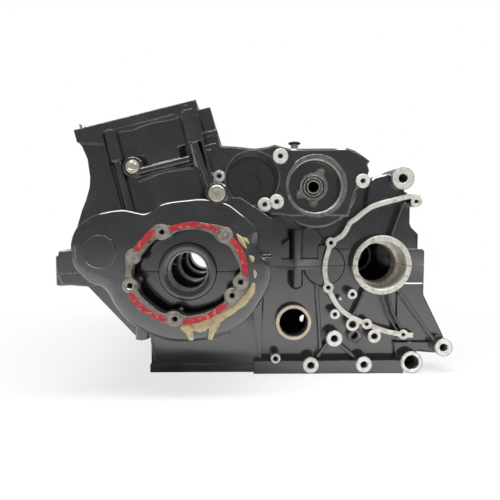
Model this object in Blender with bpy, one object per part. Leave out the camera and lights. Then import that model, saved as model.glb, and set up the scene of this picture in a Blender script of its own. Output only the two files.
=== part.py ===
"""Engine crankcase of an inline three: two castings with their liners, shells, plugs, bearing and bolts.

Sizes are in millimetres and become metres when a mesh is made. X runs to the rear of the engine, Y from the
cover side to the clutch side and Z up. Shapes are drawn from the crankshaft's axis, at the joint face of the
two castings. The origin is on the sump face, below the middle of the object.
"""

import math

import bpy
from mathutils import Vector

MM = 0.001

# Driving sizes
CYLINDER_BORE = 79.0
BORE_PITCH = 88.0
CYLINDER_LEAN = 14.0  # degrees, towards the front
DECK_HEIGHT = 183.5  # crank axis to deck, along the cylinders
CRANK_TO_SUMP = 138.5
HALF_WIDTH = 176.0  # middle to the front of the gasket remnants, and to the clutch flange
FRONT_REACH = 146.0  # crank axis to the bolt bosses of the front flange
REAR_REACH = 330.0  # crank axis to the rear mounting boss
SEAT_GAP = 0.3  # between a piece and its seat
JOINT_GAP = 0.3  # between the two castings
GASKET_THICKNESS = 0.5

# Crankshaft bearings
WEB_THICKNESS = 22.0
FIRST_WEB_FRONT = -142.0
MAIN_BORE_RADIUS = 21.5
SHELL_THICKNESS = 1.8
LAST_BORE_RADIUS = 25.4
CHAMBER_RADIUS = 72.0
LINER_THICKNESS = 2.5

# Depths of the faces turned to the cover side
COVER_FACE = -HALF_WIDTH + GASKET_THICKNESS + SEAT_GAP
BULGE_FACE = COVER_FACE + 3.0
BLOCK_FACE = -143.0
POCKET_FACE = -108.0
RIM_FACE = -80.0
WALL_FACE = -62.0
CLUTCH_FACE = HALF_WIDTH
CLUTCH_FLOOR = 146.0
SUMP_BACK = 136.0
WEB_FOOT = -62.0  # underside of the bearing webs

# Shafts behind the crankshaft
OUTPUT_X, OUTPUT_Z = 239.0, 0.5
OUTPUT_SEAT_RADIUS = 31.0
OUTPUT_RING_RADIUS = 37.6
INPUT_X, INPUT_Z = 166.4, 0.0
POCKET_X, POCKET_Z = 150.6, 98.8
POCKET_RADIUS = 33.0
POCKET_FLOOR = -84.0
BALANCER = (-91.3, 22.0)
BALANCER_SPACE = 25.0  # radius of the space round the balance shaft
STARTER_X, STARTER_Z = 74.0, 107.9
STARTER_RADIUS = 32.5
FILTER_X, FILTER_Z = 127.3, -73.3
FILTER_RADIUS = 18.4
FILTER_RING_RADIUS = 22.7

# Small ball bearing in the round pocket
BEARING_WIDTH = 10.0
BEARING_OUTER_RADIUS = 16.0
BEARING_BORE_RADIUS = 6.5
INNER_RACE_RADIUS = 8.9
OUTER_RACE_INNER_RADIUS = 13.7
BALL_CIRCLE_RADIUS = 11.3
BALL_RADIUS = 1.9
BALL_COUNT = 9
PLATE_THICKNESS = 2.4

CRANK_X = (FRONT_REACH - REAR_REACH) / 2

LEAN = math.radians(CYLINDER_LEAN)


def tilted(s, t):
    """Point (x, z) that lies s along the deck and t along the cylinders from the crank axis."""
    return (s * math.cos(LEAN) - t * math.sin(LEAN), s * math.sin(LEAN) + t * math.cos(LEAN))


def clear_scene():
    for obj in list(bpy.data.objects):
        bpy.data.objects.remove(obj)


def make_material(name, colour, roughness, metallic):
    material = bpy.data.materials.new(name)
    material.use_nodes = True
    shader = material.node_tree.nodes["Principled BSDF"]
    shader.inputs["Base Color"].default_value = (*colour, 1.0)
    shader.inputs["Roughness"].default_value = roughness
    shader.inputs["Metallic"].default_value = metallic
    return material


def make_object(name, points, faces):
    """Mesh object from points in millimetres, with its origin on the crank axis."""
    mesh = bpy.data.meshes.new(name)
    mesh.from_pydata([Vector(point) * MM for point in points], [], faces)
    obj = bpy.data.objects.new(name, mesh)
    bpy.context.scene.collection.objects.link(obj)
    return obj


def arc(centre_x, centre_z, radius, start, end, steps):
    """Points along an arc, angles in degrees from +X towards +Z."""
    turns = [math.radians(start + (end - start) * k / steps) for k in range(steps + 1)]
    return [(centre_x + radius * math.cos(a), centre_z + radius * math.sin(a)) for a in turns]


def circle(centre_x, centre_z, radius, steps=12):
    """Round outline. No point lies level with the centre, where the joint face may cut it."""
    first = 180 / steps
    return arc(centre_x, centre_z, radius, first, first + 360, steps)[:-1]


def smooth_loop(points, steps=3):
    """Closed curve through the points (Catmull-Rom)."""
    count = len(points)
    curve = []
    for k in range(count):
        before, start, end, after = (points[(k + shift) % count] for shift in (-1, 0, 1, 2))
        for step in range(steps):
            u = step / steps
            weights = (
                (-u + 2 * u**2 - u**3) / 2,
                (2 - 5 * u**2 + 3 * u**3) / 2,
                (u + 4 * u**2 - 3 * u**3) / 2,
                (u**3 - u**2) / 2,
            )
            corners = (before, start, end, after)
            curve.append(tuple(sum(w * p[axis] for w, p in zip(weights, corners)) for axis in (0, 1)))
    return curve


def smooth_line(points, steps=3):
    """Open curve through the points (Catmull-Rom), ends included."""
    first = tuple(2 * points[0][axis] - points[1][axis] for axis in (0, 1))
    last = tuple(2 * points[-1][axis] - points[-2][axis] for axis in (0, 1))
    loop = smooth_loop([first, *points, last], steps)
    return loop[steps : -2 * steps + 1]


def strip(points, width):
    """Closed outline of a band that follows an open line."""
    left, right = [], []
    for k, (x, z) in enumerate(points):
        x0, z0 = points[max(k - 1, 0)]
        x1, z1 = points[min(k + 1, len(points) - 1)]
        along = math.hypot(x1 - x0, z1 - z0)
        nx, nz = -(z1 - z0) / along * width / 2, (x1 - x0) / along * width / 2
        left.append((x + nx, z + nz))
        right.append((x - nx, z - nz))
    return left + right[::-1]


def hull_of_two(x0, z0, r0, x1, z1, r1, steps=13):
    """Outline that wraps two circles whose centres lie on a level line, the second further along X."""
    span = math.hypot(x1 - x0, z1 - z0)
    lift = math.degrees(math.acos((r0 - r1) / span))
    second = arc(x1, z1, r1, -lift, lift, steps)
    first = arc(x0, z0, r0, lift, 360 - lift, steps)
    return second + first


def signed_area(outline):
    ends = outline[1:] + outline[:1]
    return sum(a[0] * b[1] - b[0] * a[1] for a, b in zip(outline, ends)) / 2


def anticlockwise(outline):
    return outline if signed_area(outline) > 0 else outline[::-1]


def outward(outline):
    """Unit mitre direction at each point of an anticlockwise outline."""
    found = []
    count = len(outline)
    for k in range(count):
        (x0, z0), (x1, z1), (x2, z2) = (outline[(k + shift) % count] for shift in (-1, 0, 1))
        a = Vector((z1 - z0, x0 - x1)).normalized()
        b = Vector((z2 - z1, x1 - x2)).normalized()
        found.append((a + b) / max(1 + a.dot(b), 0.5))
    return found


def prism(outline, front, back, rounding=0.0, steps=3, name="shape"):
    """Outline pushed along Y. Rounding is the radius of its front edge, or a function of the outward x, z."""
    outline = anticlockwise(outline)
    normals = outward(outline)
    radii = [rounding(n.x, n.y) if callable(rounding) else rounding for n in normals]
    layers = []
    if max(radii) > 0:
        for step in range(steps + 1):
            turn = math.pi / 2 * step / steps
            layers.append(
                [
                    (
                        x - n.x * r * (1 - math.sin(turn)),
                        front + r * (1 - math.cos(turn)),
                        z - n.y * r * (1 - math.sin(turn)),
                    )
                    for (x, z), n, r in zip(outline, normals, radii)
                ]
            )
    else:
        layers.append([(x, front, z) for x, z in outline])
    layers.append([(x, back, z) for x, z in outline])
    return loft(layers, name)


def loft(layers, name="shape"):
    """Solid through rings of points, the first ring anticlockwise as seen from outside its end."""
    count = len(layers[0])
    points = [point for layer in layers for point in layer]
    faces = [list(range(count)), list(range(len(points) - count, len(points)))[::-1]]
    for level in range(len(layers) - 1):
        for k in range(count):
            here, after = level * count + k, level * count + (k + 1) % count
            faces.append([here, here + count, after + count, after])
    return make_object(name, points, faces)


def closed_loft(layers, name="shape"):
    """Ring-shaped solid: the last ring of points joins the first."""
    count = len(layers[0])
    points = [point for layer in layers for point in layer]
    faces = []
    for level in range(len(layers)):
        start, end = level * count, (level + 1) % len(layers) * count
        for k in range(count):
            after = (k + 1) % count
            faces.append([start + k, end + k, end + after, start + after])
    return make_object(name, points, faces)


def axis_rings(origin, direction, profile, steps):
    """Rings of points round an axis. Each profile entry is (distance, radius), or (distance, radius, "hex")."""
    origin, direction = Vector(origin), Vector(direction).normalized()
    reference = Vector((1, 0, 0)) if abs(direction.y) > 0.9 else Vector((0, 1, 0))
    side = direction.cross(reference).normalized()
    across = direction.cross(side)
    rings = []
    for distance, radius, *shape in profile:
        ring = []
        for k in range(steps):
            turn = 2 * math.pi * k / steps
            reach = radius
            if shape:
                off_flat = turn % (math.pi / 3) - math.pi / 6
                reach = radius * math.cos(math.pi / 6) / math.cos(off_flat)
            spoke = side * math.cos(turn) - across * math.sin(turn)
            ring.append(origin + direction * distance + spoke * reach)
        rings.append(ring)
    return rings


def lathe(origin, direction, profile, steps=16, name="shape"):
    """Solid turned round an axis, closed at both ends."""
    return loft(axis_rings(origin, direction, profile, steps), name)


def tube(origin, direction, profile, steps=24, name="shape"):
    """Ring turned round an axis from a closed profile that runs down its outer side and back up inside."""
    return closed_loft(axis_rings(origin, direction, profile, steps), name)


def rod(start, end, radius, end_radius=None, steps=16, name="shape"):
    """Round bar or cone between two points."""
    along = Vector(end) - Vector(start)
    profile = [(0, radius), (along.length, radius if end_radius is None else end_radius)]
    return lathe(start, along, profile, steps, name)


def box(x0, x1, y0, y1, z0, z1, name="shape"):
    return prism([(x0, z0), (x1, z0), (x1, z1), (x0, z1)], y0, y1, name=name)


def combine(base, others, operation):
    """Applies one exact Boolean of the base with all the others, and removes the others."""
    group = bpy.data.collections.new("operands")
    bpy.context.scene.collection.children.link(group)
    for other in others:
        group.objects.link(other)
    change = base.modifiers.new("change", "BOOLEAN")
    change.operation = operation
    change.solver = "EXACT"
    change.operand_type = "COLLECTION"
    change.collection = group
    graph = bpy.context.evaluated_depsgraph_get()
    mesh = bpy.data.meshes.new_from_object(base.evaluated_get(graph))
    base.modifiers.clear()
    base.data = mesh
    for other in others:
        bpy.data.objects.remove(other)
    bpy.data.collections.remove(group)
    return base


def union(solids):
    return combine(solids[0], solids[1:], "UNION")


def subtract(base, cutters):
    return combine(base, cutters, "DIFFERENCE")


def finish(obj, name, material, smooth_angle=35.0):
    """Names a finished piece, gives it its material and places it on the crank axis."""
    obj.name = name
    obj.data.name = name
    obj.data.materials.clear()
    obj.data.materials.append(material)
    obj.data.shade_smooth()
    obj.data.set_sharp_from_angle(angle=math.radians(smooth_angle))
    obj.location = obj.location + Vector((CRANK_X, 0, CRANK_TO_SUMP)) * MM
    return obj


def web_front(number):
    return FIRST_WEB_FRONT + number * BORE_PITCH


def cylinder_y(number):
    return web_front(number) + WEB_THICKNESS + (BORE_PITCH - WEB_THICKNESS) / 2


# Outlines of the casting, drawn on the crank axis

BULGE_OUTLINE = [
    (-123.0, 24.0), (-121.0, 38.0), (-114.5, 51.0), (-102.5, 60.5), (-89.0, 66.5), (-67.0, 69.8),
    (-50.0, 66.8), (-43.2, 65.8), (-36.0, 68.5), (-22.5, 76.5), (2.0, 80.3), (22.0, 81.3), (44.0, 77.0),
    (57.0, 68.5), (68.0, 59.0), (78.4, 46.0), (79.5, 24.0), (90.5, 13.0), (93.0, -2.0), (89.5, -18.0),
    (72.5, -45.0), (60.0, -57.0), (42.0, -67.5), (20.0, -74.0), (4.0, -75.5), (-15.0, -75.0),
    (-35.0, -69.5), (-52.0, -61.0), (-66.0, -50.0), (-77.0, -36.0), (-83.0, -24.5), (-92.0, -14.5),
    (-107.0, -9.0), (-120.0, 4.0),
]

FLANGE_OUTLINE = [
    (-54.0, 29.0), (-42.0, 42.0), (-31.0, 53.0), (-23.0, 54.5), (-14.0, 52.5), (8.0, 57.0), (30.0, 54.0),
    (43.0, 51.5), (53.0, 40.0), (62.0, 24.0), (68.0, 7.0), (69.0, -8.0), (64.0, -20.0), (54.0, -32.0),
    (38.0, -42.0), (18.0, -49.5), (-2.0, -53.5), (-11.0, -56.5), (-20.0, -53.5), (-40.0, -42.5),
    (-54.0, -26.0), (-64.5, -17.0), (-66.5, -8.0), (-62.5, 4.0), (-63.0, 16.0), (-60.0, 25.0),
]

OPENING_OUTLINE = [
    (-47.0, 21.0), (-38.0, 32.5), (-29.0, 38.5), (-17.0, 40.0), (-8.0, 46.0), (10.0, 49.0), (28.0, 45.0),
    (37.0, 36.0), (48.0, 30.5), (56.0, 17.0), (60.0, 3.5), (53.0, -4.0), (53.5, -14.0), (44.0, -22.0),
    (41.5, -31.0), (24.0, -40.5), (4.0, -45.0), (-6.0, -42.0), (-15.0, -40.0), (-24.0, -41.5),
    (-40.0, -29.5), (-49.5, -18.5), (-50.5, -8.0), (-56.8, -1.5), (-55.0, 11.0),
]

# Screw bosses of the cover flange: x, z, boss radius, hole radius (the front one is filled up)
COVER_BOSSES = {
    "top_front": (-23.7, 45.8, 8.4, 3.1),
    "top_rear": (43.7, 42.7, 8.4, 3.1),
    "rear": (60.1, -8.1, 8.2, 3.1),
    "rear_low": (51.0, -22.7, 8.4, 3.1),
    "bottom": (-10.8, -48.0, 8.4, 3.1),
    "front_low": (-58.7, -11.7, 8.2, 2.9),
    "front": (-54.6, 19.8, 8.2, 0.0),
}

# Lugs round the starter recess and the round pocket: x, z, radius, depth of the face
POCKET_LUGS = {
    "top": (107.1, 133.4, 9.0, -112.0),
    "rear": (205.4, 104.4, 8.4, -112.0),
    "low_rear": (102.9, 79.8, 8.6, -112.0),
    "low_front": (88.6, 76.3, 8.2, -112.0),
    "front": (35.0, 109.0, 6.8, -122.0),
}

# Thin rim that carries the output cover: its line, then its lugs (x, z, radius, hole radius)
RIM_LINE = [
    (286.0, 86.3), (271.0, 87.2), (248.6, 81.5), (223.0, 73.5), (205.6, 59.9), (196.9, 53.5), (193.0, 45.0),
    (186.5, 37.0), (174.5, 29.0), (168.9, 13.3), (166.5, 1.4), (166.7, -12.2), (171.0, -28.0),
    (177.1, -41.5), (184.8, -53.5), (196.9, -63.5), (208.0, -69.5), (220.8, -75.0), (234.0, -80.5),
    (249.2, -85.4), (267.9, -88.9), (280.5, -89.5),
]
RIM_WIDTH = 6.2
RIM_LUGS = {
    "tip_top": (280.8, 80.8, 7.0, 2.8),
    "upper": (173.8, 29.0, 6.6, 2.9),
    "middle": (171.0, -28.0, 6.6, 2.9),
    "large_front": (202.6, -75.5, 8.4, 5.2),
    "lower": (220.8, -75.0, 6.6, 2.8),
    "large_rear": (230.7, -91.0, 8.4, 4.6),
    "tip_low": (267.9, -88.9, 6.2, 2.7),
}

# Free bosses of the lower casting: x, z, radius, hole radius
LOWER_BOSSES = {
    "pin_side": (201.0, -36.2, 6.4, 2.7),
    "rim_outer": (179.1, -61.7, 6.6, 2.7),
    "rib_fork": (178.8, -93.0, 10.4, 4.9),
    "rail_front": (149.0, -127.5, 10.4, 4.9),
    "rail_rear": (217.0, -126.9, 10.4, 4.8),
    "panel_corner": (104.0, -118.5, 6.5, 3.2),
    "rear_arm": (REAR_REACH - 11.3, -105.0, 11.3, 5.5),
    "rear_socket": (278.0, -124.0, 14.0, 11.3),
}
DEEP_BOSSES = {"rear_socket": -40.0, "rear_arm": -46.0}
TOP_MOUNT = (262.8, 109.6, 14.0, 6.3)
THREAD_INSERT = (207.6, -92.6, 7.2)

GALLERY_PLUG = (35.0, 87.0)
JACKET_PLUG = tilted(-30.0, 128.5)

GEARBOX_UPPER = [
    (20.0, -20.0), (20.0, 150.0), (34.4, 146.2), (53.4, 145.5), (77.1, 143.0), (92.0, 145.0),
    (100.8, 147.8), (110.0, 145.0), (118.7, 143.0), (188.2, 143.8), (197.3, 140.5), (206.0, 135.0),
    (214.5, 128.0), (213.5, 124.0), (214.4, 117.5), (211.4, 110.0), (218.0, 100.0), (224.0, 105.4),
    (229.2, 112.5), (249.7, 117.5), (270.0, 112.0), (271.0, 88.0), (278.5, 86.0), (278.5, 50.0),
    (291.0, 38.0), (297.0, 20.0), (298.0, -20.0),
]

GEARBOX_LOWER = [
    (-57.0, -CRANK_TO_SUMP), (-57.0, -96.0), (-63.0, -72.0), (-86.0, -43.0), (-117.0, -19.5),
    (-130.0, -12.0), (-133.0, 0.0), (-133.0, 20.0), (298.0, 20.0), (298.0, -38.0), (282.0, -60.0),
    (282.0, -112.0), (266.0, -118.0), (258.0, -CRANK_TO_SUMP),
]

BLOCK_FRONT_LINE = [
    tilted(-83.0, DECK_HEIGHT), (-121.6, 144.8), (-118.3, 140.9), (-112.4, 126.8), (-110.0, 106.6),
    (-110.8, 95.2), (-115.2, 80.7), (-120.0, 69.1), (-126.0, 50.0), (-126.0, 20.0),
]


LEAN_AXIS = (-math.sin(LEAN), 0, math.cos(LEAN))

# Ribs on the gearbox wall: line, width and front face
RIBS = [
    ([(158, -120), (176, -95)], 5.0, -74),
    ([(182, -98), (212, -124)], 5.0, -74),
    ([(156, -5), (158, -36), (163, -104), (162, -124)], 4.5, -72),
    ([(147, -4), (149, -20), (160, -28), (178, -32)], 3.0, -72),
    ([(219, -30), (204.5, -64)], 3.0, -76),
    ([(240, -34), (250, -66), (262, -86)], 3.0, -76),
    ([(248, -32), (254, -58), (268, -86)], 3.0, -76),
    ([(259, -28), (311, -100)], 4.0, -77),
    ([(267, 82), (251, 36)], 3.0, -74),
]

# Screws and bolts that clamp the castings or hold what is bolted to them
MAIN_BOLT_RADIUS = 4.5
JOINT_BOLT_RADIUS = 3.5
BOLT_CLEARANCE = 0.8  # round a shank that passes through a casting
FIRST_WEB_BOLTS = {-55.0: -80.0, 40.0: -74.5}  # place along X, and foot of the boss
FIRST_WEB_RECESS = 6.0
OTHER_WEB_BOLTS = (-36.0, 36.0)
FRONT_BOLT_X = -137.0
REAR_BOLT_X = 289.5
REAR_BOLT_ROWS = (-52.0, 60.0)
HEAD_STUD_LINES = (-44.0, 42.0)
HEAD_STUD_ROWS = (-131.0, -43.0, 45.0, 133.0)
COOLANT_LINE = 47.0
DECK_DOWELS = [(-75.0, -135.0), (-75.0, 128.0)]
DECK_DOWEL_RADIUS = 2.8
COVER_DOWEL_RADIUS = 4.7
DOWEL_BOSS = "front_low"
STUB_BOSS = "top_rear"
GALLERY_SHANK_RADIUS = 6.9
JACKET_SHANK_RADIUS = 4.0
WASHER_THICKNESS = 1.2
RETAINER_LOBES = (65.6, 208.0, 268.0)  # degrees from +X towards +Z
LOBE_CIRCLE_RADIUS = 20.6
RETAINER_SCREW_RADIUS = 2.4
PIN_POINT = (187.0, -42.5)
PIN_RADIUS = 2.6
CAP_AXIS = (134.0, -8.0)
CAP_STEM_RADIUS = 5.0
CLUTCH_SCREWS = [
    (-62.0, 0.0), (-30.0, 55.5), (42.0, 74.0), (118.0, 88.0), (196.0, 78.0), (241.0, 0.0), (196.0, -78.0),
    (118.0, -88.0), (42.0, -74.0), (-30.0, -55.5),
]
SUMP_SCREWS = [
    (-51.0, -20.0), (-51.0, 60.0), (-51.0, 128.0), (30.0, 141.0), (110.0, 141.0), (190.0, 141.0),
    (252.0, 60.0), (252.0, -20.0), (232.0, -66.0), (126.0, -66.0), (20.0, -66.0),
]


def main_bolt_y(web):
    return web_front(web) + (WEB_THICKNESS / 2 if web < 3 else 6.0)


def main_bolts():
    """Place, underside of the head, head radius and tip height of each main bearing bolt."""
    found = []
    for x, foot in FIRST_WEB_BOLTS.items():
        found.append((x, main_bolt_y(0), foot + FIRST_WEB_RECESS, 5.6, 38.0))
    for web in (1, 2, 3):
        for x in OTHER_WEB_BOLTS:
            found.append((x, main_bolt_y(web), WEB_FOOT, 7.5, 38.0))
    return found


def front_bolt_y(number):
    return -148.0 + number * 92.0


# What is left on the cover flange: line and width of each gasket piece, then the sealant's shapes
GASKET_LINES = [
    ([(-51.0, 24.0), (-44.0, 32.5), (-34.0, 42.0), (-31.0, 44.5)], 7.0),
    ([(-15.5, 47.6), (-4.0, 50.0), (6.0, 52.4), (15.5, 52.4)], 6.8),
    ([(23.0, 50.4), (30.0, 49.4), (36.0, 47.0)], 6.0),
    ([(50.5, 37.0), (56.6, 28.0), (61.6, 15.0), (64.2, 1.5)], 6.4),
    ([(-1.0, -49.4), (14.0, -46.6), (28.0, -40.8), (42.5, -32.0)], 6.8),
    ([(-57.0, -20.8), (-48.5, -30.0), (-39.0, -37.4), (-20.0, -47.0)], 6.8),
]
SEALANT_BAND = [
    (72.0, -12.0), (75.0, -17.0), (68.0, -27.0), (58.0, -37.0), (47.0, -44.0), (38.0, -51.0), (28.0, -58.0),
    (16.0, -58.0), (4.0, -60.0), (-4.0, -58.0), (18.0, -52.0), (38.0, -44.5), (54.0, -34.5), (65.5, -21.0),
]
SEALANT_DRIPS = [
    [(3.0, -56.0, 4.8), (5.0, -61.0, 3.4), (5.6, -66.0, 3.0), (5.8, -71.0, 2.8), (5.8, -73.0, 1.8)],
    [(28.0, -54.0, 4.4), (29.0, -60.0, 3.0), (27.6, -66.0, 2.6), (26.6, -69.5, 2.2), (26.2, -71.5, 1.4)],
]
SEALANT_PATCHES = [
    [(54.5, 46.0), (58.5, 43.0), (63.0, 35.0), (67.0, 29.5), (64.5, 27.5), (60.0, 35.5), (56.0, 41.5)],
    [(68.5, 20.0), (72.5, 21.5), (75.0, 15.0), (71.5, 12.5)],
]


def cylinder_block():
    """Solids of the block: barrels round the bores, end walls with their stud columns, deck and gussets."""
    back = web_front(3) + WEB_THICKNESS
    top = DECK_HEIGHT - 7.5  # the walls end inside the deck
    solids = [
        prism([tilted(-50, 30), tilted(50, 30), tilted(50, top), tilted(-50, top)], BLOCK_FACE + 14, back),
        prism([tilted(-30, 70), tilted(30, 70), tilted(30, top), tilted(-30, top)], back - 5, back + 30),
    ]
    x, z = tilted(0, 40)
    for number in range(3):
        solids.append(lathe((x, cylinder_y(number), z), LEAN_AXIS, [(0, 51), (top - 40, 51)], 24))
    deck = [
        tilted(s, DECK_HEIGHT - below) for s, below in (
            (-83, 0), (56.4, 0), (55.5, 17.5), (34, 14), (27, 9.5),
            (-32, 10.5), (-53, 11), (-53.5, 23.5), (-83, 14),
        )
    ]
    column = DECK_HEIGHT - 46.5  # foot of the stud columns
    intake = [tilted(s, t) for s, t in ((46, column - 3), (69.5, column - 3), (69.5, top + 3.5), (46, top + 3.5))]
    shelf = column + 9.5
    ledge = [tilted(s, t) for s, t in ((46, shelf), (71, shelf), (71, shelf + 5.5), (46, shelf + 5.5))]
    front_wall = [tilted(-50, 70), tilted(-42, 70), tilted(-42, column + 3), tilted(-50, column + 3)]
    rear_wall = [tilted(34, 70), tilted(44, 70), tilted(44, column + 3), tilted(34, column + 3)]
    low_wall = [tilted(-46, 70), tilted(44, 70), tilted(44, 120), tilted(-46, 120)]
    cross_rib = [tilted(-24, 119), tilted(32, 119), tilted(32, 125), tilted(-24, 125)]
    setback = [tilted(46, 60), tilted(62, 60), tilted(66, column - 1), tilted(46, column - 1)]
    solids += [
        prism(deck, BLOCK_FACE, back + 30),
        prism(intake, POCKET_FACE, back),
        prism(ledge, POCKET_FACE - 2, back),
        prism(front_wall, BLOCK_FACE + 3, -120),
        prism(rear_wall, BLOCK_FACE + 2, -120),
        prism(low_wall, BLOCK_FACE + 7, -120),
        prism(cross_rib, BLOCK_FACE - 1, -120),
        prism(setback, -118, back),
        prism(circle(*JACKET_PLUG, 11.5, 14), BLOCK_FACE - 1, -120),
        box(12.5, 25.5, -124, -110, 131, 139.5),
    ]
    for s, t, radius in ((-47, column, 9.0), (39.5, column - 1, 9.8)):
        x, z = tilted(s, t)
        profile = [(0, radius - 2), (2, radius), (44, radius)]
        solids.append(lathe((x, BLOCK_FACE + 9, z), LEAN_AXIS, profile, 12))
    for number in range(4):
        front = web_front(number) + (0 if number else 6)
        gusset = [*BLOCK_FRONT_LINE, tilted(-40, 60), tilted(-40, top)]
        solids.append(prism(gusset, front, front + 10))
    return solids


def bulge_rounding(x, z):
    """Edge radius of the crank bulge: tight on top and wide below the joint face."""
    return 5.0 + 9.0 * min(max(0.35 - z, 0.0), 1.0)


def crank_bulge():
    """Solids of the big rounded boss on the cover side, with its flange and plug boss."""
    solids = [
        prism(smooth_loop(BULGE_OUTLINE, 2), BULGE_FACE, -118, bulge_rounding, 2),
        prism(smooth_loop(FLANGE_OUTLINE, 2), COVER_FACE, -150),
        prism(circle(*GALLERY_PLUG, 12.2, 18), BULGE_FACE + 1, -120, 1.2, 1),
        prism(circle(-91.3, 24.7, 17.6, 20), BULGE_FACE - 0.9, -150, 0.9, 1),
        box(82, 95, -166, -118, -13, 18),
    ]
    for x, z, radius, _ in COVER_BOSSES.values():
        solids.append(prism(circle(x, z, radius, 12), COVER_FACE, -150))
    for x, foot in FIRST_WEB_BOLTS.items():
        solids.append(rod((x, main_bolt_y(0), foot), (x, main_bolt_y(0), -40), 7.6, steps=12))
    return solids


def front_nose():
    """Solids of the joint flange along the front, with its bolt bosses."""
    nose = [
        (-141.0, 18.0), (-138.0, 24.5), (-100, 30), (-80, 0), (-90, -12), (-106, -15.0), (-125, -13.5),
        (-136.5, -12.5), (-141.0, -2.0),
    ]
    solids = [prism(nose, -160, web_front(3) + WEB_THICKNESS, 1.5, 1)]
    for number in range(4):
        x, y = FRONT_BOLT_X, front_bolt_y(number)
        solids.append(rod((x, y, -14), (x, y, 18), FRONT_REACH + FRONT_BOLT_X, steps=12))
    return solids


def gearbox_outer():
    """Outer solids of the gearbox part of both castings."""
    chamber = [
        (-131.5, 24), (-126, 50), (-60, 84), (60, 84), (96, 60),
        (96, -20), (-57, -84), (-117, -19.5), (-130, -12),
    ]
    pocket = [
        (28.0, 146.8), (34.4, 146.2), (53.4, 145.5), (77.1, 143.0), (92.0, 145.0), (100.8, 147.8),
        (110.0, 145.0), (118.7, 143.0), (188.2, 143.8), (197.3, 140.5), (206.0, 135.0), (215.0, 128.5),
        (212.0, 124.0), (214.4, 117.5), (211.4, 108.0), (198.0, 92.0), (190.0, 62.0), (118.0, 62.0),
        (108.0, 64.0), (80.0, 64.0), (78.0, 52.0), (28.0, 52.0),
    ]
    return [
        prism(blunted(GEARBOX_UPPER), WALL_FACE, CLUTCH_FLOOR),
        prism(blunted(GEARBOX_LOWER), WALL_FACE - 2, CLUTCH_FLOOR),
        prism(chamber, -128, CLUTCH_FLOOR - 2),
        prism(pocket, POCKET_FACE + 2, WALL_FACE + 4, 2.0, 1),
        prism(circle(POCKET_X, POCKET_Z, 50.5, 30), POCKET_FACE + 3, WALL_FACE + 4, 2.0, 1),
        prism(circle(POCKET_X, POCKET_Z, POCKET_RADIUS + 4.5, 28), POCKET_FACE, WALL_FACE + 4),
        prism(hull_of_two(0, 0, 66, INPUT_X - 14, 0, 92), 118, CLUTCH_FACE),
    ]


def blunted(outline, reach=3.0):
    """Outline with each corner replaced by a short chamfer."""
    found = []
    count = len(outline)
    for k in range(count):
        before, here, after = (Vector(outline[(k + shift) % count]) for shift in (-1, 0, 1))
        for other in (before, after):
            step = min(reach, (other - here).length * 0.35)
            found.append(tuple(here + (other - here).normalized() * step))
    return found


def middle_details():
    """Ledges, joint flange, slot and ribs between the crank bulge and the thin rim."""
    shelf = [(106, 6), (106, 22), (114, 30), (146, 52), (158, 46), (164, 34), (158, 24), (158, 6)]
    low_wall = [
        (-46, -CRANK_TO_SUMP), (-52, -124), (-57, -100), (-57, -96), (-63, -72), (-50, -40), (90, -40),
        (84, -CRANK_TO_SUMP),
    ]
    arm = [
        (262, -24), (297, -24), (298, -40), (324, -92), (REAR_REACH - 1, -105), (312, -116.5), (262, -112),
    ]
    foot = [(258, -100), (262, -CRANK_TO_SUMP + 4), (292, -112), (REAR_REACH - 14, -116), (312, -100)]
    solids = [
        box(70, 97, -118, -60, -20, 52),
        box(96, 109.5, -102, -60, 6, 62),
        prism(shelf, -78, -58, 1.5, 1),
        box(88, 158, -86, -58, -4.5, 9.0),
        lathe((130, -78, -30), (0, 0, 1), [(0, 3.5), (1.6, 6.6), (4.5, 8.7), (76, 8.7)], 14),
        prism([(74, -38), (82, -124), (86, -124), (88, -2), (76, -2)], -74, -58),
        box(76, 268, -82, -58, -CRANK_TO_SUMP, -122),
        box(-57, 80, -74, -58, -CRANK_TO_SUMP, -128),
        prism(low_wall, -73, -55, 5.0, 3),
        prism(circle(FILTER_X, FILTER_Z, FILTER_RING_RADIUS, 24), RIM_FACE + 2, -55),
        prism(circle(INPUT_X, INPUT_Z, 27.0, 20), -74, -55, 1.5, 1),
        prism(circle(OUTPUT_X, OUTPUT_Z, OUTPUT_RING_RADIUS, 32), RIM_FACE, -55),
        prism(arm, -66, -54, 1.5, 1),
        prism(foot, -70, -50, 1.5, 1),
    ]
    for line, width, face in RIBS:
        solids.append(prism(strip(line, width), face, -58, 0.8, 1))
    return solids


def rim_and_bosses():
    """The thin machined rim with its lugs, and every free boss."""
    solids = [prism(strip(smooth_line(RIM_LINE, 2), RIM_WIDTH), RIM_FACE, -56)]
    for x, z, radius, _ in RIM_LUGS.values():
        solids.append(prism(circle(x, z, radius, 12), RIM_FACE, -56))
    for name, (x, z, radius, _) in LOWER_BOSSES.items():
        back = DEEP_BOSSES.get(name, -56.0)
        solids.append(prism(arc(x, z, radius, 0, 360, 16)[:-1], RIM_FACE - 4, back))
    for x, z, radius, face in POCKET_LUGS.values():
        solids.append(prism(circle(x, z, radius, 12), face, POCKET_FACE + 24))
    x, z, radius, _ = TOP_MOUNT
    mount_arm = [(218, 76), (222, 104), (229, 112), (249, 117), (262, 96), (272, 92), (272, 78)]
    x_insert, z_insert, insert_radius = THREAD_INSERT
    solids += [
        prism(circle(x, z, radius, 20), RIM_FACE - 2, -20),
        prism(mount_arm, -72, -40, 2.0, 1),
        prism(circle(x_insert, z_insert, insert_radius + 2.5, 14), -74, -56),
        rod((*CAP_AXIS, 130), (*CAP_AXIS, 149), 9.0, steps=14),
    ]
    return solids


def clutch_flange():
    """Screw bosses round the clutch-side flange."""
    solids = []
    for x, z in CLUTCH_SCREWS:
        solids.append(prism(circle(x, z, 7.5, 8), CLUTCH_FLOOR - 6, CLUTCH_FACE))
    return solids


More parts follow.
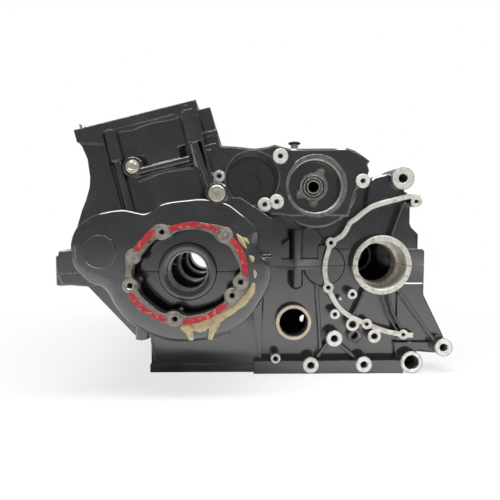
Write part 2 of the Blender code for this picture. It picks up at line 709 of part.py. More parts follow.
def cavities():
    """Spaces inside the castings, cut before the inner walls are added."""
    front, back = WALL_FACE + 11, SUMP_BACK
    upper_gearbox = [
        (98, -30), (98, 62), (70, 90), (46, 98), (46, 134), (188, 134), (203, 122), (203, 108), (210, 98),
        (254, 98), (268, 76), (268, 46), (280, 30), (280, -30),
    ]
    lower_gearbox = [
        (-45, -CRANK_TO_SUMP - 5), (-45, WEB_FOOT), (60, WEB_FOOT), (86, -29), (280, -29), (270, -62),
        (246, -108), (246, -CRANK_TO_SUMP - 5),
    ]
    through = DECK_HEIGHT + 6.5
    chain = [tilted(-24, 40), tilted(24, 40), tilted(24, through), tilted(-24, through)]
    cuts = [
        prism(hull_of_two(0, 0, 58, INPUT_X - 14, 0, 84), CLUTCH_FLOOR, CLUTCH_FACE + 5),
        prism(upper_gearbox, front, back - 1),
        prism(lower_gearbox, front, back),
        prism(chain, CLUTCH_FLOOR + 5, CLUTCH_FACE - 7),
    ]
    for number in range(3):
        start = web_front(number) + WEB_THICKNESS
        end = web_front(number + 1)
        cuts.append(prism(circle(0, 0, CHAMBER_RADIUS, 28), start, end))
        balancer_start = start if number else BULGE_FACE + 7
        cuts.append(prism(circle(*BALANCER, BALANCER_SPACE, 14), balancer_start, end))
        if number:
            cuts.append(box(-44, 50, start, end, WEB_FOOT - 5, -40))
    cuts.append(box(-44, 50, front, web_front(1), WEB_FOOT - 5, -40))
    return cuts


def inner_walls():
    """Walls and bosses inside: gearbox bearing wall and shaft bosses."""
    bearing_wall = [(92, -50), (92, 95), (274, 95), (282, 46), (292, 30), (292, -36), (262, -50)]
    front = FIRST_WEB_FRONT - 4.5
    return [
        prism(circle(0, 0, 32.0, 24), front, FIRST_WEB_FRONT + 3),
        prism(strip([(-20, -20), (-48, -36)], 4.0), front + 1, FIRST_WEB_FRONT + 3),
        prism(strip([(20, -20), (46, -40)], 4.0), front + 1, FIRST_WEB_FRONT + 3),
        prism(strip([(-20, 20), (-44, 34)], 4.0), front + 1, FIRST_WEB_FRONT + 3),
        prism(bearing_wall, 62, 74),
        prism(circle(OUTPUT_X, OUTPUT_Z, 36.0, 20), WALL_FACE, -36),
        prism(circle(POCKET_X, POCKET_Z, 24.0, 14), POCKET_FLOOR - 2, -40),
        prism(circle(FILTER_X, FILTER_Z, 22.0, 16), WALL_FACE, -34),
        prism(circle(OUTPUT_X, OUTPUT_Z, 36.0, 16), 122, 140),
        prism(circle(INPUT_X, INPUT_Z, 42.0, 16), 122, 140),
    ]


def along_y(x, z, radius, front, back, steps=8):
    return prism(circle(x, z, radius, steps), front, back)


def large_bores():
    """Bores and recesses cut after the inner walls are in."""
    main_seat = MAIN_BORE_RADIUS + SHELL_THICKNESS + SEAT_GAP
    liner_seat = CYLINDER_BORE / 2 + LINER_THICKNESS + SEAT_GAP
    first_end = web_front(2) + WEB_THICKNESS
    bearing_back = POCKET_FLOOR + SEAT_GAP + BEARING_WIDTH + SEAT_GAP
    cuts = [
        prism(smooth_loop(OPENING_OUTLINE, 2), COVER_FACE - 5, -160),
        prism(hull_of_two(-8, 1, 60, 24, 1, 59.9), -166, FIRST_WEB_FRONT),
        along_y(0, 0, main_seat, FIRST_WEB_FRONT - 8, first_end + 4, 28),
        along_y(0, 0, LAST_BORE_RADIUS, web_front(3) - 4, CLUTCH_FLOOR + 4, 28),
        along_y(OUTPUT_X, OUTPUT_Z, OUTPUT_SEAT_RADIUS, RIM_FACE - 5, -50, 32),
        along_y(OUTPUT_X, OUTPUT_Z, 26.0, -52, -30, 24),
        along_y(OUTPUT_X, OUTPUT_Z, 22.0, 56, 132, 16),
        along_y(INPUT_X, INPUT_Z, 31.0, 56, CLUTCH_FLOOR + 5, 20),
        along_y(FILTER_X, FILTER_Z, FILTER_RADIUS, RIM_FACE - 5, -30, 24),
        along_y(STARTER_X, STARTER_Z, STARTER_RADIUS, POCKET_FACE - 5, -66, 28),
        along_y(STARTER_X - 2, STARTER_Z - 4, 13.5, -68, -57, 14),
        along_y(POCKET_X, POCKET_Z, POCKET_RADIUS, POCKET_FACE - 5, POCKET_FLOOR, 28),
        along_y(POCKET_X, POCKET_Z, BEARING_OUTER_RADIUS + SEAT_GAP, POCKET_FLOOR - 4, bearing_back, 20),
        along_y(POCKET_X, POCKET_Z, 12.0, POCKET_FLOOR, -30, 12),
        along_y(166.0, -113.0, 7.0, SUMP_BACK - 5, CLUTCH_FLOOR + 5),
    ]
    for y in REAR_BOLT_ROWS:
        cuts.append(rod((REAR_BOLT_X + 4, y, 6), (REAR_BOLT_X + 4, y, 60), 11.0, steps=12))
    for number in range(3):
        x, z = tilted(0, 55)
        reach = DECK_HEIGHT + 6 - 55
        start = (x, cylinder_y(number), z)
        cuts.append(lathe(start, LEAN_AXIS, [(0, liner_seat), (reach, liner_seat)], 28))
    return cuts


def screw_holes():
    """Blind and through holes for every screw, dowel, plug and bolt."""
    cuts = []
    for name, (x, z, _, radius) in COVER_BOSSES.items():
        if radius:
            cuts.append(along_y(x, z, radius, COVER_FACE - 5, COVER_FACE + 14))
    x, z = COVER_BOSSES[DOWEL_BOSS][:2]
    cuts.append(along_y(x, z, COVER_DOWEL_RADIUS + SEAT_GAP, COVER_FACE - 5, COVER_FACE + 8, 10))
    for x, z, _, radius in RIM_LUGS.values():
        cuts.append(along_y(x, z, radius, RIM_FACE - 5, RIM_FACE + 14))
    for name, (x, z, _, radius) in LOWER_BOSSES.items():
        depth = 26.0 if name in DEEP_BOSSES else 16.0
        cuts.append(along_y(x, z, radius, RIM_FACE - 9, RIM_FACE - 4 + depth, 10))
    for x, z, _, face in POCKET_LUGS.values():
        cuts.append(along_y(x, z, 2.9, face - 5, face + 14))
    for x, z in retainer_screw_points():
        cuts.append(along_y(x, z, RETAINER_SCREW_RADIUS + SEAT_GAP, POCKET_FLOOR - 4, POCKET_FLOOR + 9))
    x, z, _, radius = TOP_MOUNT
    cuts.append(along_y(x, z, radius, RIM_FACE - 7, -15, 12))
    x, z, radius = THREAD_INSERT
    cuts.append(along_y(x, z, radius + SEAT_GAP, -80, -58, 12))
    cuts.append(along_y(*GALLERY_PLUG, GALLERY_SHANK_RADIUS + SEAT_GAP, BULGE_FACE - 5, BULGE_FACE + 15, 12))
    cuts.append(along_y(*JACKET_PLUG, JACKET_SHANK_RADIUS + SEAT_GAP, BLOCK_FACE - 5, BLOCK_FACE + 9, 12))
    cuts.append(along_y(*PIN_POINT, PIN_RADIUS + SEAT_GAP, -70, -56))
    for x, z in CLUTCH_SCREWS:
        cuts.append(along_y(x, z, 3.1, CLUTCH_FACE - 14, CLUTCH_FACE + 5))
    stem = CAP_STEM_RADIUS + SEAT_GAP
    cuts.append(rod((*CAP_AXIS, 138), (*CAP_AXIS, 155), stem, steps=12))
    cuts += deck_holes() + bolt_holes()
    return cuts


def deck_holes():
    """Head stud holes, coolant holes and dowel holes, all square to the deck."""
    cuts = []
    holes = [(s, y, 5.2, 34) for s in HEAD_STUD_LINES for y in HEAD_STUD_ROWS]
    holes += [(s, cylinder_y(number), 3.6, 40) for s in (-COOLANT_LINE, COOLANT_LINE) for number in range(3)]
    holes += [(s, y, DECK_DOWEL_RADIUS + SEAT_GAP, 8) for s, y in DECK_DOWELS]
    for s, y, radius, depth in holes:
        x, z = tilted(s, DECK_HEIGHT - depth)
        cuts.append(lathe((x, y, z), LEAN_AXIS, [(0, radius), (depth + 5, radius)], 8))
    return cuts


def bolt_holes():
    """Upright holes of the bolts that clamp the castings, and the threaded holes of the sump face."""
    cuts = []
    for x, y, head, _, tip in main_bolts():
        cuts.append(rod((x, y, head - 5), (x, y, tip + 2), MAIN_BOLT_RADIUS + BOLT_CLEARANCE, steps=8))
    for x, foot in FIRST_WEB_BOLTS.items():
        y = main_bolt_y(0)
        cuts.append(rod((x, y, foot - 5), (x, y, foot + FIRST_WEB_RECESS), 6.3, steps=8))
    for number in range(4):
        x, y = FRONT_BOLT_X, front_bolt_y(number)
        cuts.append(rod((x, y, -11), (x, y, 24), JOINT_BOLT_RADIUS + BOLT_CLEARANCE, steps=8))
        cuts.append(rod((x, y, 18), (x, y, 34), 9.6, steps=10))
    for y in REAR_BOLT_ROWS:
        start, end = (REAR_BOLT_X, y, -18), (REAR_BOLT_X, y, 12)
        cuts.append(rod(start, end, JOINT_BOLT_RADIUS + BOLT_CLEARANCE, steps=8))
    for x, y in SUMP_SCREWS:
        cuts.append(rod((x, y, -CRANK_TO_SUMP - 5), (x, y, -CRANK_TO_SUMP + 12), 2.8, steps=6))
    return cuts


def build_casting():
    outer = cylinder_block() + crank_bulge() + front_nose() + gearbox_outer()
    outer += middle_details() + rim_and_bosses() + clutch_flange()
    casting = union(outer)
    casting = subtract(casting, cavities())
    casting = combine(casting, inner_walls(), "UNION")
    return subtract(casting, large_bores() + screw_holes())


def split_casting(casting):
    """Cuts the casting at the joint face into its upper and lower halves."""
    other = casting.copy()
    other.data = casting.data.copy()
    bpy.context.scene.collection.objects.link(other)
    reach = 400.0
    upper = subtract(casting, [box(-reach, reach, -reach, reach, -reach, JOINT_GAP / 2)])
    lower = subtract(other, [box(-reach, reach, -reach, reach, -JOINT_GAP / 2, reach)])
    return upper, lower


def add_castings():
    paint = make_material("gloss_black_casting", (0.012, 0.012, 0.014), 0.22, 0.0)
    upper, lower = split_casting(build_casting())
    finish(upper, "upper_crankcase", paint)
    finish(lower, "lower_crankcase", paint)


def add_liners():
    steel = make_material("honed_iron", (0.36, 0.36, 0.36), 0.3, 1.0)
    inner = CYLINDER_BORE / 2
    outer = inner + LINER_THICKNESS
    foot = 78.0
    profile = [(0, outer), (DECK_HEIGHT - foot, outer), (DECK_HEIGHT - foot, inner), (0, inner)]
    for number in range(3):
        x, z = tilted(0, foot)
        liner = tube((x, cylinder_y(number), z), LEAN_AXIS, profile, 28)
        finish(liner, f"cylinder_liner_{number + 1}", steel)


def add_bearing_shells():
    """Half shells of the first three bearing webs, drawn as half rings pushed along the crank axis."""
    white_metal = make_material("bearing_shell_metal", (0.6, 0.59, 0.56), 0.25, 1.0)
    outer, inner = MAIN_BORE_RADIUS + SHELL_THICKNESS, MAIN_BORE_RADIUS
    for number in range(3):
        for side, start in (("upper", 0), ("lower", 180)):
            half = arc(0, 0, outer, start + 1, start + 179, 10) + arc(0, 0, inner, start + 179, start + 1, 10)
            shell = prism(half, web_front(number) + 1, web_front(number) + WEB_THICKNESS - 1)
            finish(shell, f"main_bearing_shell_{side}_{number + 1}", white_metal)


def retainer_screw_points():
    turns = [math.radians(angle) for angle in RETAINER_LOBES]
    return [
        (POCKET_X + LOBE_CIRCLE_RADIUS * math.cos(a), POCKET_Z + LOBE_CIRCLE_RADIUS * math.sin(a))
        for a in turns
    ]


def retainer_outline(steps=36):
    """Round plate whose radius swells at each screw lobe."""
    outline = []
    for k in range(steps):
        angle = 360 * k / steps
        swell = 0.0
        for lobe in RETAINER_LOBES:
            off = (angle - lobe + 180) % 360 - 180
            swell = max(swell, math.exp(-((off / 15.0) ** 4)))
        radius = 17.6 + 8.4 * swell
        turn = math.radians(angle)
        outline.append((POCKET_X + radius * math.cos(turn), POCKET_Z + radius * math.sin(turn)))
    return outline


def add_pocket_bearing():
    """Small ball bearing in the floor of the round pocket, its retaining plate and the plate's screws."""
    steel = make_material("bearing_steel", (0.45, 0.45, 0.46), 0.2, 1.0)
    plate_steel = make_material("retainer_steel", (0.3, 0.3, 0.3), 0.35, 1.0)
    front = POCKET_FLOOR + SEAT_GAP
    centre = (POCKET_X, front, POCKET_Z)
    inward = (0, 1, 0)
    for name, outer, inner in (
        ("pocket_bearing_outer_race", BEARING_OUTER_RADIUS, OUTER_RACE_INNER_RADIUS),
        ("pocket_bearing_inner_race", INNER_RACE_RADIUS, BEARING_BORE_RADIUS),
    ):
        profile = [(0, outer), (BEARING_WIDTH, outer), (BEARING_WIDTH, inner), (0, inner)]
        finish(move_origin(tube(centre, inward, profile, 20), centre), name, steel)
    middle = BEARING_WIDTH / 2
    profile = [
        (middle - 2.5, BALL_CIRCLE_RADIUS + 1.1), (middle + 1.5, BALL_CIRCLE_RADIUS + 1.1),
        (middle + 1.5, BALL_CIRCLE_RADIUS - 1.1), (middle - 2.5, BALL_CIRCLE_RADIUS - 1.1),
    ]
    pieces = [tube(centre, inward, profile, 18)]
    for k in range(BALL_COUNT):
        turn = 2 * math.pi * k / BALL_COUNT
        x = POCKET_X + BALL_CIRCLE_RADIUS * math.cos(turn)
        z = POCKET_Z + BALL_CIRCLE_RADIUS * math.sin(turn)
        pieces.append(ball((x, front + middle - 1.2, z), BALL_RADIUS))
    finish(move_origin(union(pieces), centre), "pocket_bearing_cage", steel)
    plate = prism(retainer_outline(), POCKET_FLOOR - SEAT_GAP - PLATE_THICKNESS, POCKET_FLOOR - SEAT_GAP)
    holes = [along_y(POCKET_X, POCKET_Z, BEARING_OUTER_RADIUS - 1.5, -100, -70, 20)]
    for x, z in retainer_screw_points():
        holes.append(along_y(x, z, RETAINER_SCREW_RADIUS + SEAT_GAP, -100, -70, 8))
    finish(subtract(plate, holes), "bearing_retainer_plate", plate_steel)
    for number, (x, z) in enumerate(retainer_screw_points(), 1):
        head = POCKET_FLOOR - SEAT_GAP - PLATE_THICKNESS
        profile = [
            (3.0, 1.7), (-1.5, 2.0), (-1.5, 3.7), (-0.3, 4.6), (-0.3, RETAINER_SCREW_RADIUS),
            (9.0, RETAINER_SCREW_RADIUS),
        ]
        finish(lathe((x, head, z), inward, profile, 8), f"retainer_screw_{number}", plate_steel)


def move_origin(obj, centre):
    """Shifts the object's origin to a point, its shape staying where it is."""
    shift = Vector(centre) * MM
    for vertex in obj.data.vertices:
        vertex.co -= shift
    obj.location = shift
    return obj


def ball(centre, radius):
    """Ball turned round an axis along Y, flat at its two ends."""
    levels = [math.radians(angle) for angle in (-60, 0, 60)]
    profile = [(radius * math.sin(a), radius * math.cos(a)) for a in levels]
    return lathe(centre, (0, 1, 0), profile, 6)


def add_plugs():
    """Plugs of the cylinder jacket and of the oil gallery, each on a washer."""
    zinc = make_material("yellow_zinc", (0.62, 0.58, 0.4), 0.3, 1.0)
    copper = make_material("soft_washer", (0.5, 0.47, 0.4), 0.4, 1.0)
    for name, (x, z), face, head, height, shank, depth, socket, seat in (
        ("gallery_plug", GALLERY_PLUG, BULGE_FACE + 1, 8.3, 2.9, GALLERY_SHANK_RADIUS, 12.0, 4.6, 9.0),
        ("jacket_plug", JACKET_PLUG, BLOCK_FACE - 1, 6.6, 4.0, JACKET_SHANK_RADIUS, 6.0, 0.0, 7.6),
    ):
        washer_front = face - SEAT_GAP - WASHER_THICKNESS
        profile = [(0, seat), (WASHER_THICKNESS, seat), (WASHER_THICKNESS, shank + 0.4), (0, shank + 0.4)]
        washer = tube((x, washer_front, z), (0, 1, 0), profile, 14)
        finish(washer, f"{name}_washer", copper)
        base = washer_front - SEAT_GAP
        if socket:
            top = [(-height + 2.6, socket - 0.6, "hex"), (-height + 1.0, socket, "hex"),
                   (-height + 0.8, head - 1.9), (-height, head - 1.2), (-height, head - 0.8)]
        else:
            top = [(-height + 0.6, head - 2.6), (-height + 0.6, head - 2.2), (-height, head - 1.6),
                   (-height, head - 0.9)]
        profile = [*top, (-height + 0.8, head), (0, head), (0, shank), (depth, shank)]
        finish(lathe((x, base, z), (0, 1, 0), profile, 18), name, zinc)


def add_dowels_and_insert():
    bright = make_material("bright_steel", (0.66, 0.66, 0.64), 0.22, 1.0)
    for number, (s, y) in enumerate(DECK_DOWELS, 1):
        x, z = tilted(s, DECK_HEIGHT - 7.5)
        radius = DECK_DOWEL_RADIUS
        dowel = lathe((x, y, z), LEAN_AXIS, [(0, radius), (13, radius), (14, radius - 0.8)], 10)
        finish(dowel, f"deck_dowel_{number}", bright)
    x, z = COVER_BOSSES[DOWEL_BOSS][:2]
    profile = [(0, 4.2), (0.5, COVER_DOWEL_RADIUS), (7.5, COVER_DOWEL_RADIUS), (7.5, 3.2), (0, 3.2)]
    finish(tube((x, COVER_FACE, z), (0, 1, 0), profile, 12), "cover_dowel", bright)
    x, z = COVER_BOSSES[STUB_BOSS][:2]
    profile = [(0.6, 1.2), (0, 1.6), (0.3, 2.4), (1.0, 2.8), (13, 2.8)]
    stub = lathe((x, COVER_FACE + 0.4, z), (0, 1, 0), profile, 12)
    finish(stub, "broken_screw_stub", bright)
    x, z, radius = THREAD_INSERT
    profile = [(0, radius - 0.4), (14, radius - 0.4), (14, radius - 2.0)]
    turns = 3
    for k in range(turns):
        profile += [(14 - 14 * (k + 0.35) / turns, radius - 1.2), (14 - 14 * (k + 0.75) / turns, radius - 2.0)]
    finish(tube((x, -73.4, z), (0, 1, 0), [*profile, (0, radius - 1.6)], 12), "thread_insert", bright)
    x, z = PIN_POINT
    pin = lathe((x, -77.0, z), (0, 1, 0), [(0, PIN_RADIUS - 0.7), (0.7, PIN_RADIUS), (19.5, PIN_RADIUS)], 12)
    finish(pin, "locating_pin", bright)


def add_bolts():
    """Hexagon bolts that clamp the two castings. Those of the webs point up and those of the flanges down."""
    zinc = make_material("bolt_zinc", (0.35, 0.34, 0.3), 0.35, 1.0)
    for number, (x, y, head, radius, tip) in enumerate(main_bolts(), 1):
        base = head - SEAT_GAP
        bolt = hexagon_bolt((x, y, base), (0, 0, 1), radius, 5.0, MAIN_BOLT_RADIUS, tip - base)
        finish(bolt, f"main_bolt_{number}", zinc)
    for number in range(4):
        start = (FRONT_BOLT_X, front_bolt_y(number), 18 + SEAT_GAP)
        bolt = hexagon_bolt(start, (0, 0, -1), 6.5, 5.0, JOINT_BOLT_RADIUS, 28.5)
        finish(bolt, f"front_joint_bolt_{number + 1}", zinc)
    for number, y in enumerate(REAR_BOLT_ROWS, 1):
        start = (REAR_BOLT_X, y, 6 + SEAT_GAP)
        bolt = hexagon_bolt(start, (0, 0, -1), 6.5, 5.0, JOINT_BOLT_RADIUS, 22.5)
        finish(bolt, f"rear_joint_bolt_{number}", zinc)


def hexagon_bolt(base, direction, head_radius, head_height, shank_radius, length):
    """Bolt whose shank runs from its head's underside along the direction."""
    profile = [
        (-head_height, head_radius, "hex"), (0, head_radius, "hex"), (0, shank_radius), (length, shank_radius),
    ]
    return lathe(base, direction, profile, 12)


def add_breather():
    """Breather stub in the gearbox roof and the dark cap on it."""
    stem_metal = make_material("stub_aluminium", (0.8, 0.8, 0.78), 0.35, 1.0)
    rubber = make_material("cap_rubber", (0.02, 0.02, 0.02), 0.6, 0.0)
    stem = lathe((*CAP_AXIS, 138.5), (0, 0, 1), [(0, CAP_STEM_RADIUS), (25.0, CAP_STEM_RADIUS)], 10)
    finish(stem, "breather_stub", stem_metal)
    height = 4.0
    radius = 8.6
    inner = CAP_STEM_RADIUS + SEAT_GAP
    profile = [
        (0, inner), (0, radius - 1.0), (1.2, radius), (2.6, radius - 0.8), (height, 3.0), (height, 0.8),
        (height - 1.2, 0.8), (height - 1.2, inner),
    ]
    cap = tube((*CAP_AXIS, 161.2), (0, 0, 1), profile, 14)
    finish(cap, "breather_cap", rubber)


def add_gasket():
    """Pieces of the old red gasket left on the cover flange."""
    red = make_material("red_gasket", (0.55, 0.06, 0.06), 0.6, 0.0)
    for number, (line, width) in enumerate(GASKET_LINES, 1):
        piece = prism(strip(smooth_line(line, 2), width), -HALF_WIDTH, -HALF_WIDTH + GASKET_THICKNESS)
        finish(piece, f"gasket_remnant_{number}", red)


def add_sealant():
    """Tan sealant squeezed out below the flange's rear edge, with two drips down the bulge."""
    tan = make_material("tan_sealant", (0.62, 0.53, 0.3), 0.55, 0.0)
    back = BULGE_FACE - SEAT_GAP
    band = prism(SEALANT_BAND, back - 1.3, back, 0.5, 1)
    pieces = [band]
    for line in SEALANT_DRIPS:
        pieces.append(drip(line))
    finish(union(pieces), "sealant_residue_1", tan)
    for number, outline in enumerate(SEALANT_PATCHES, 2):
        patch = prism(smooth_loop(outline, 2), back - 0.9, back, 0.4, 1)
        finish(patch, f"sealant_residue_{number}", tan)


def bulge_surface(z):
    """Depth of the bulge's face below its middle, where its lower edge rounds back."""
    edge = -75.5
    radius = 14.0
    into = min(max(radius - (z - edge), 0.0), radius)
    return BULGE_FACE + radius - math.sqrt(radius**2 - into**2)


def drip(line):
    """Tapering run of sealant that follows the bulge. Each entry is x, z and half width."""
    layers = []
    for x, z, half in line:
        near = bulge_surface(z) - 0.7
        ring = [(-half, 0.0), (half, 0.0), (0.8 * half, -0.9), (0.3 * half, -1.4), (-0.3 * half, -1.4),
                (-0.8 * half, -0.9)]
        layers.append([(x + across, near + out, z) for across, out in ring])
    return loft(layers)


def main():
    clear_scene()
    add_castings()
    add_liners()
    add_bearing_shells()
    add_pocket_bearing()
    add_plugs()
    add_dowels_and_insert()
    add_bolts()
    add_breather()
    add_gasket()
    add_sealant()


main()
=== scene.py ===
"""Crankcase of an inline three: two black castings with bare machined faces, and what is fitted to them.

Shapes are worked out in millimetres from the crankshaft's axis, X to the rear, Y to the clutch side, Z up.
"""

import math

import bmesh
import bpy
import numpy as np
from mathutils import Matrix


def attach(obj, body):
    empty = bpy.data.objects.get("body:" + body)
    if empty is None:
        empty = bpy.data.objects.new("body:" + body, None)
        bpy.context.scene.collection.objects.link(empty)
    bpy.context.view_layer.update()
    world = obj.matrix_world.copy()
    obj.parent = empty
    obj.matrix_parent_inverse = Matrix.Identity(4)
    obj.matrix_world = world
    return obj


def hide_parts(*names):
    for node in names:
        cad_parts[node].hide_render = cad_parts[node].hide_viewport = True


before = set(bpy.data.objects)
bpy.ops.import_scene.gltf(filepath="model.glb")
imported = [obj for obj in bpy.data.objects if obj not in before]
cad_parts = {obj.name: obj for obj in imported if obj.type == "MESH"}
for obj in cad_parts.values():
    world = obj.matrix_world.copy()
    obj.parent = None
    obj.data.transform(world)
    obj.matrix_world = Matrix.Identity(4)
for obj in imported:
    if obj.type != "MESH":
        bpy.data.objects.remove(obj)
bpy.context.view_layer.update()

# The two castings. Pressure cast aluminium, split level with the crankshaft, sprayed gloss black and then
# machined, so that joint faces, bores and boss ends are bare. Their shapes come from model.glb, as merged
# copies whose facets are shaded together, and the rounded look of their cast edges comes from the material.

CRANK = np.array((-92.0, 0.0, 138.5))
LEAN = math.radians(14.0)
LEAN_AXIS = np.array((-math.sin(LEAN), 0.0, math.cos(LEAN)))
DECK_HEIGHT = 183.5
COVER_FACE = -175.2
BULGE_FACE = -172.2
BLOCK_FACE = -143.0
RIM_FACE = -80.0
CLUTCH_FACE = 176.0
CAST_BLACK = (0.0122, 0.0128, 0.0158, 1.0)
DUSTY_BLACK = (0.036, 0.037, 0.041, 1.0)
MACHINED = (0.80, 0.78, 0.72, 1.0)
STAINED = (0.50, 0.47, 0.40, 1.0)
OLD_FACE = (0.24, 0.21, 0.18, 1.0)
OLD_STAIN = (0.06, 0.05, 0.045, 1.0)
SMOOTH_TURN = math.radians(34.0)
SQUARE_ON = 0.99
PLANE_TOLERANCE = 0.0002
BORE_TOLERANCE = 0.00045


def tilted(s, t):
    """Point (x, z) that lies s along the deck and t along the cylinders: s and t turned back by the lean."""
    return (s * math.cos(LEAN) - t * math.sin(LEAN), s * math.sin(LEAN) + t * math.cos(LEAN))


def add(tree, kind, sockets=None, **settings):
    """Adds a shader node. A socket given as a value is linked, and anything else is stored."""
    made = tree.nodes.new(kind)
    for key, value in settings.items():
        setattr(made, key, value)
    for key, value in (sockets or {}).items():
        if isinstance(value, bpy.types.NodeSocket):
            tree.links.new(value, made.inputs[key])
        else:
            made.inputs[key].default_value = value
    return made


def figure(tree, operation, first, second=0.0, third=0.0):
    """Output socket of a Math node."""
    return add(tree, "ShaderNodeMath", {0: first, 1: second, 2: third}, operation=operation).outputs[0]


def vector_figure(tree, operation, first, second=(0.0, 0.0, 0.0)):
    """Output socket of a Vector Math node: a number for a dot product or a length, and a vector otherwise."""
    made = add(tree, "ShaderNodeVectorMath", {0: first, 1: second}, operation=operation)
    return made.outputs["Value" if operation in ("DOT_PRODUCT", "LENGTH") else "Vector"]


def blended(tree, factor, first, second):
    """Output socket of a colour mix: first where the factor is 0 and second where it is 1."""
    return add(tree, "ShaderNodeMix", {0: factor, 6: first, 7: second}, data_type="RGBA").outputs[2]


def new_group(name, inputs, output):
    """Empty shader node group with number inputs and one number output. Returns it, its inputs and end."""
    group = bpy.data.node_groups.new(name, "ShaderNodeTree")
    for label, value in inputs.items():
        group.interface.new_socket(label, in_out="INPUT", socket_type="NodeSocketFloat").default_value = value
    group.interface.new_socket(output, in_out="OUTPUT", socket_type="NodeSocketFloat")
    return group, group.nodes.new("NodeGroupInput").outputs, group.nodes.new("NodeGroupOutput").inputs[output]


def patches_group():
    """Patches: cloudy noise on the object's own coordinates, pushed apart between Low and High to 0 and 1."""
    group, given, result = new_group("patches", {"Scale": 60.0, "Low": 0.45, "High": 0.65}, "Mask")
    place = add(group, "ShaderNodeTexCoord").outputs["Object"]
    cloud = add(group, "ShaderNodeTexNoise", {"Vector": place, "Scale": given["Scale"], "Detail": 6.0,
                                              "Roughness": 0.6}).outputs["Fac"]
    limits = {"Value": cloud, "From Min": given["Low"], "From Max": given["High"]}
    spread = add(group, "ShaderNodeMapRange", limits, interpolation_type="SMOOTHSTEP")
    group.links.new(spread.outputs["Result"], result)
    return group


def cast_skin_group():
    """Height in metres of sprayed cast skin: fine orange peel plus a slow wave of the casting."""
    inputs = {"Peel Scale": 700.0, "Peel": 3e-5, "Wave": 2.5e-4}
    group, given, result = new_group("cast_skin", inputs, "Height")
    place = add(group, "ShaderNodeTexCoord").outputs["Object"]
    peel = add(group, "ShaderNodeTexNoise", {"Vector": place, "Scale": given["Peel Scale"], "Detail": 2.0})
    wave = add(group, "ShaderNodeTexNoise", {"Vector": place, "Scale": 32.0, "Detail": 1.0})
    low = figure(group, "MULTIPLY", wave.outputs["Fac"], given["Wave"])
    group.links.new(figure(group, "MULTIPLY_ADD", peel.outputs["Fac"], given["Peel"], low), result)
    return group


PATCHES = patches_group()
CAST_SKIN = cast_skin_group()


def from_group(tree, group, **values):
    """Output socket of a group with its inputs set, an underscore standing for a space."""
    made = add(tree, "ShaderNodeGroup", node_tree=group)
    for key, value in values.items():
        made.inputs[key.replace("_", " ")].default_value = value
    return made.outputs[0]


def new_material(name):
    """Material with nodes, its tree and its Principled shader."""
    material = bpy.data.materials.new(name)
    material.use_nodes = True
    return material, material.node_tree, material.node_tree.nodes["Principled BSDF"]


def flat_faces(tree, axis, distances):
    """1 on planes square to an axis: position·axis is one of the distances, and the normal is the axis."""
    place = add(tree, "ShaderNodeTexCoord")
    facing = vector_figure(tree, "DOT_PRODUCT", place.outputs["Normal"], axis)
    depth = vector_figure(tree, "DOT_PRODUCT", place.outputs["Object"], axis)
    flat = figure(tree, "GREATER_THAN", facing, SQUARE_ON)
    found = 0.0
    for distance in distances:
        near = figure(tree, "COMPARE", depth, distance, PLANE_TOLERANCE)
        found = figure(tree, "MAXIMUM", near, found)
    return figure(tree, "MULTIPLY", found, flat)


def bored_faces(tree, bores):
    """1 on bored walls along Y: the distance from the bore's axis is its radius, within half a millimetre."""
    place = add(tree, "ShaderNodeTexCoord").outputs["Object"]
    found = 0.0
    for x, z, radius in bores:
        centre = ((x + CRANK[0]) / 1000, 0.0, (z + CRANK[2]) / 1000)
        off = vector_figure(tree, "SUBTRACT", place, centre)
        away = vector_figure(tree, "LENGTH", vector_figure(tree, "MULTIPLY", off, (1.0, 0.0, 1.0)))
        found = figure(tree, "MAXIMUM", figure(tree, "COMPARE", away, radius / 1000, BORE_TOLERANCE), found)
    normal = add(tree, "ShaderNodeTexCoord").outputs["Normal"]
    end_on = vector_figure(tree, "DOT_PRODUCT", normal, (0.0, 1.0, 0.0))
    wall = figure(tree, "LESS_THAN", figure(tree, "ABSOLUTE", end_on), 0.5)
    return figure(tree, "MULTIPLY", found, wall)


def emboss(tree, shader, height, strength, **normal):
    """Feeds a height in metres to the shader as relief, on a given Normal where there is one."""
    relief = add(tree, "ShaderNodeBump", {"Height": height, "Strength": strength, "Distance": 1.0, **normal})
    tree.links.new(relief.outputs["Normal"], shader.inputs["Normal"])


def rounded_skin(tree, shader, radius=0.0022):
    """Normal of a cast surface: edges rounded to the radius, with the cast skin's relief on top."""
    edge = add(tree, "ShaderNodeBevel", {"Radius": radius}, samples=6)
    emboss(tree, shader, from_group(tree, CAST_SKIN), 0.5, Normal=edge.outputs["Normal"])


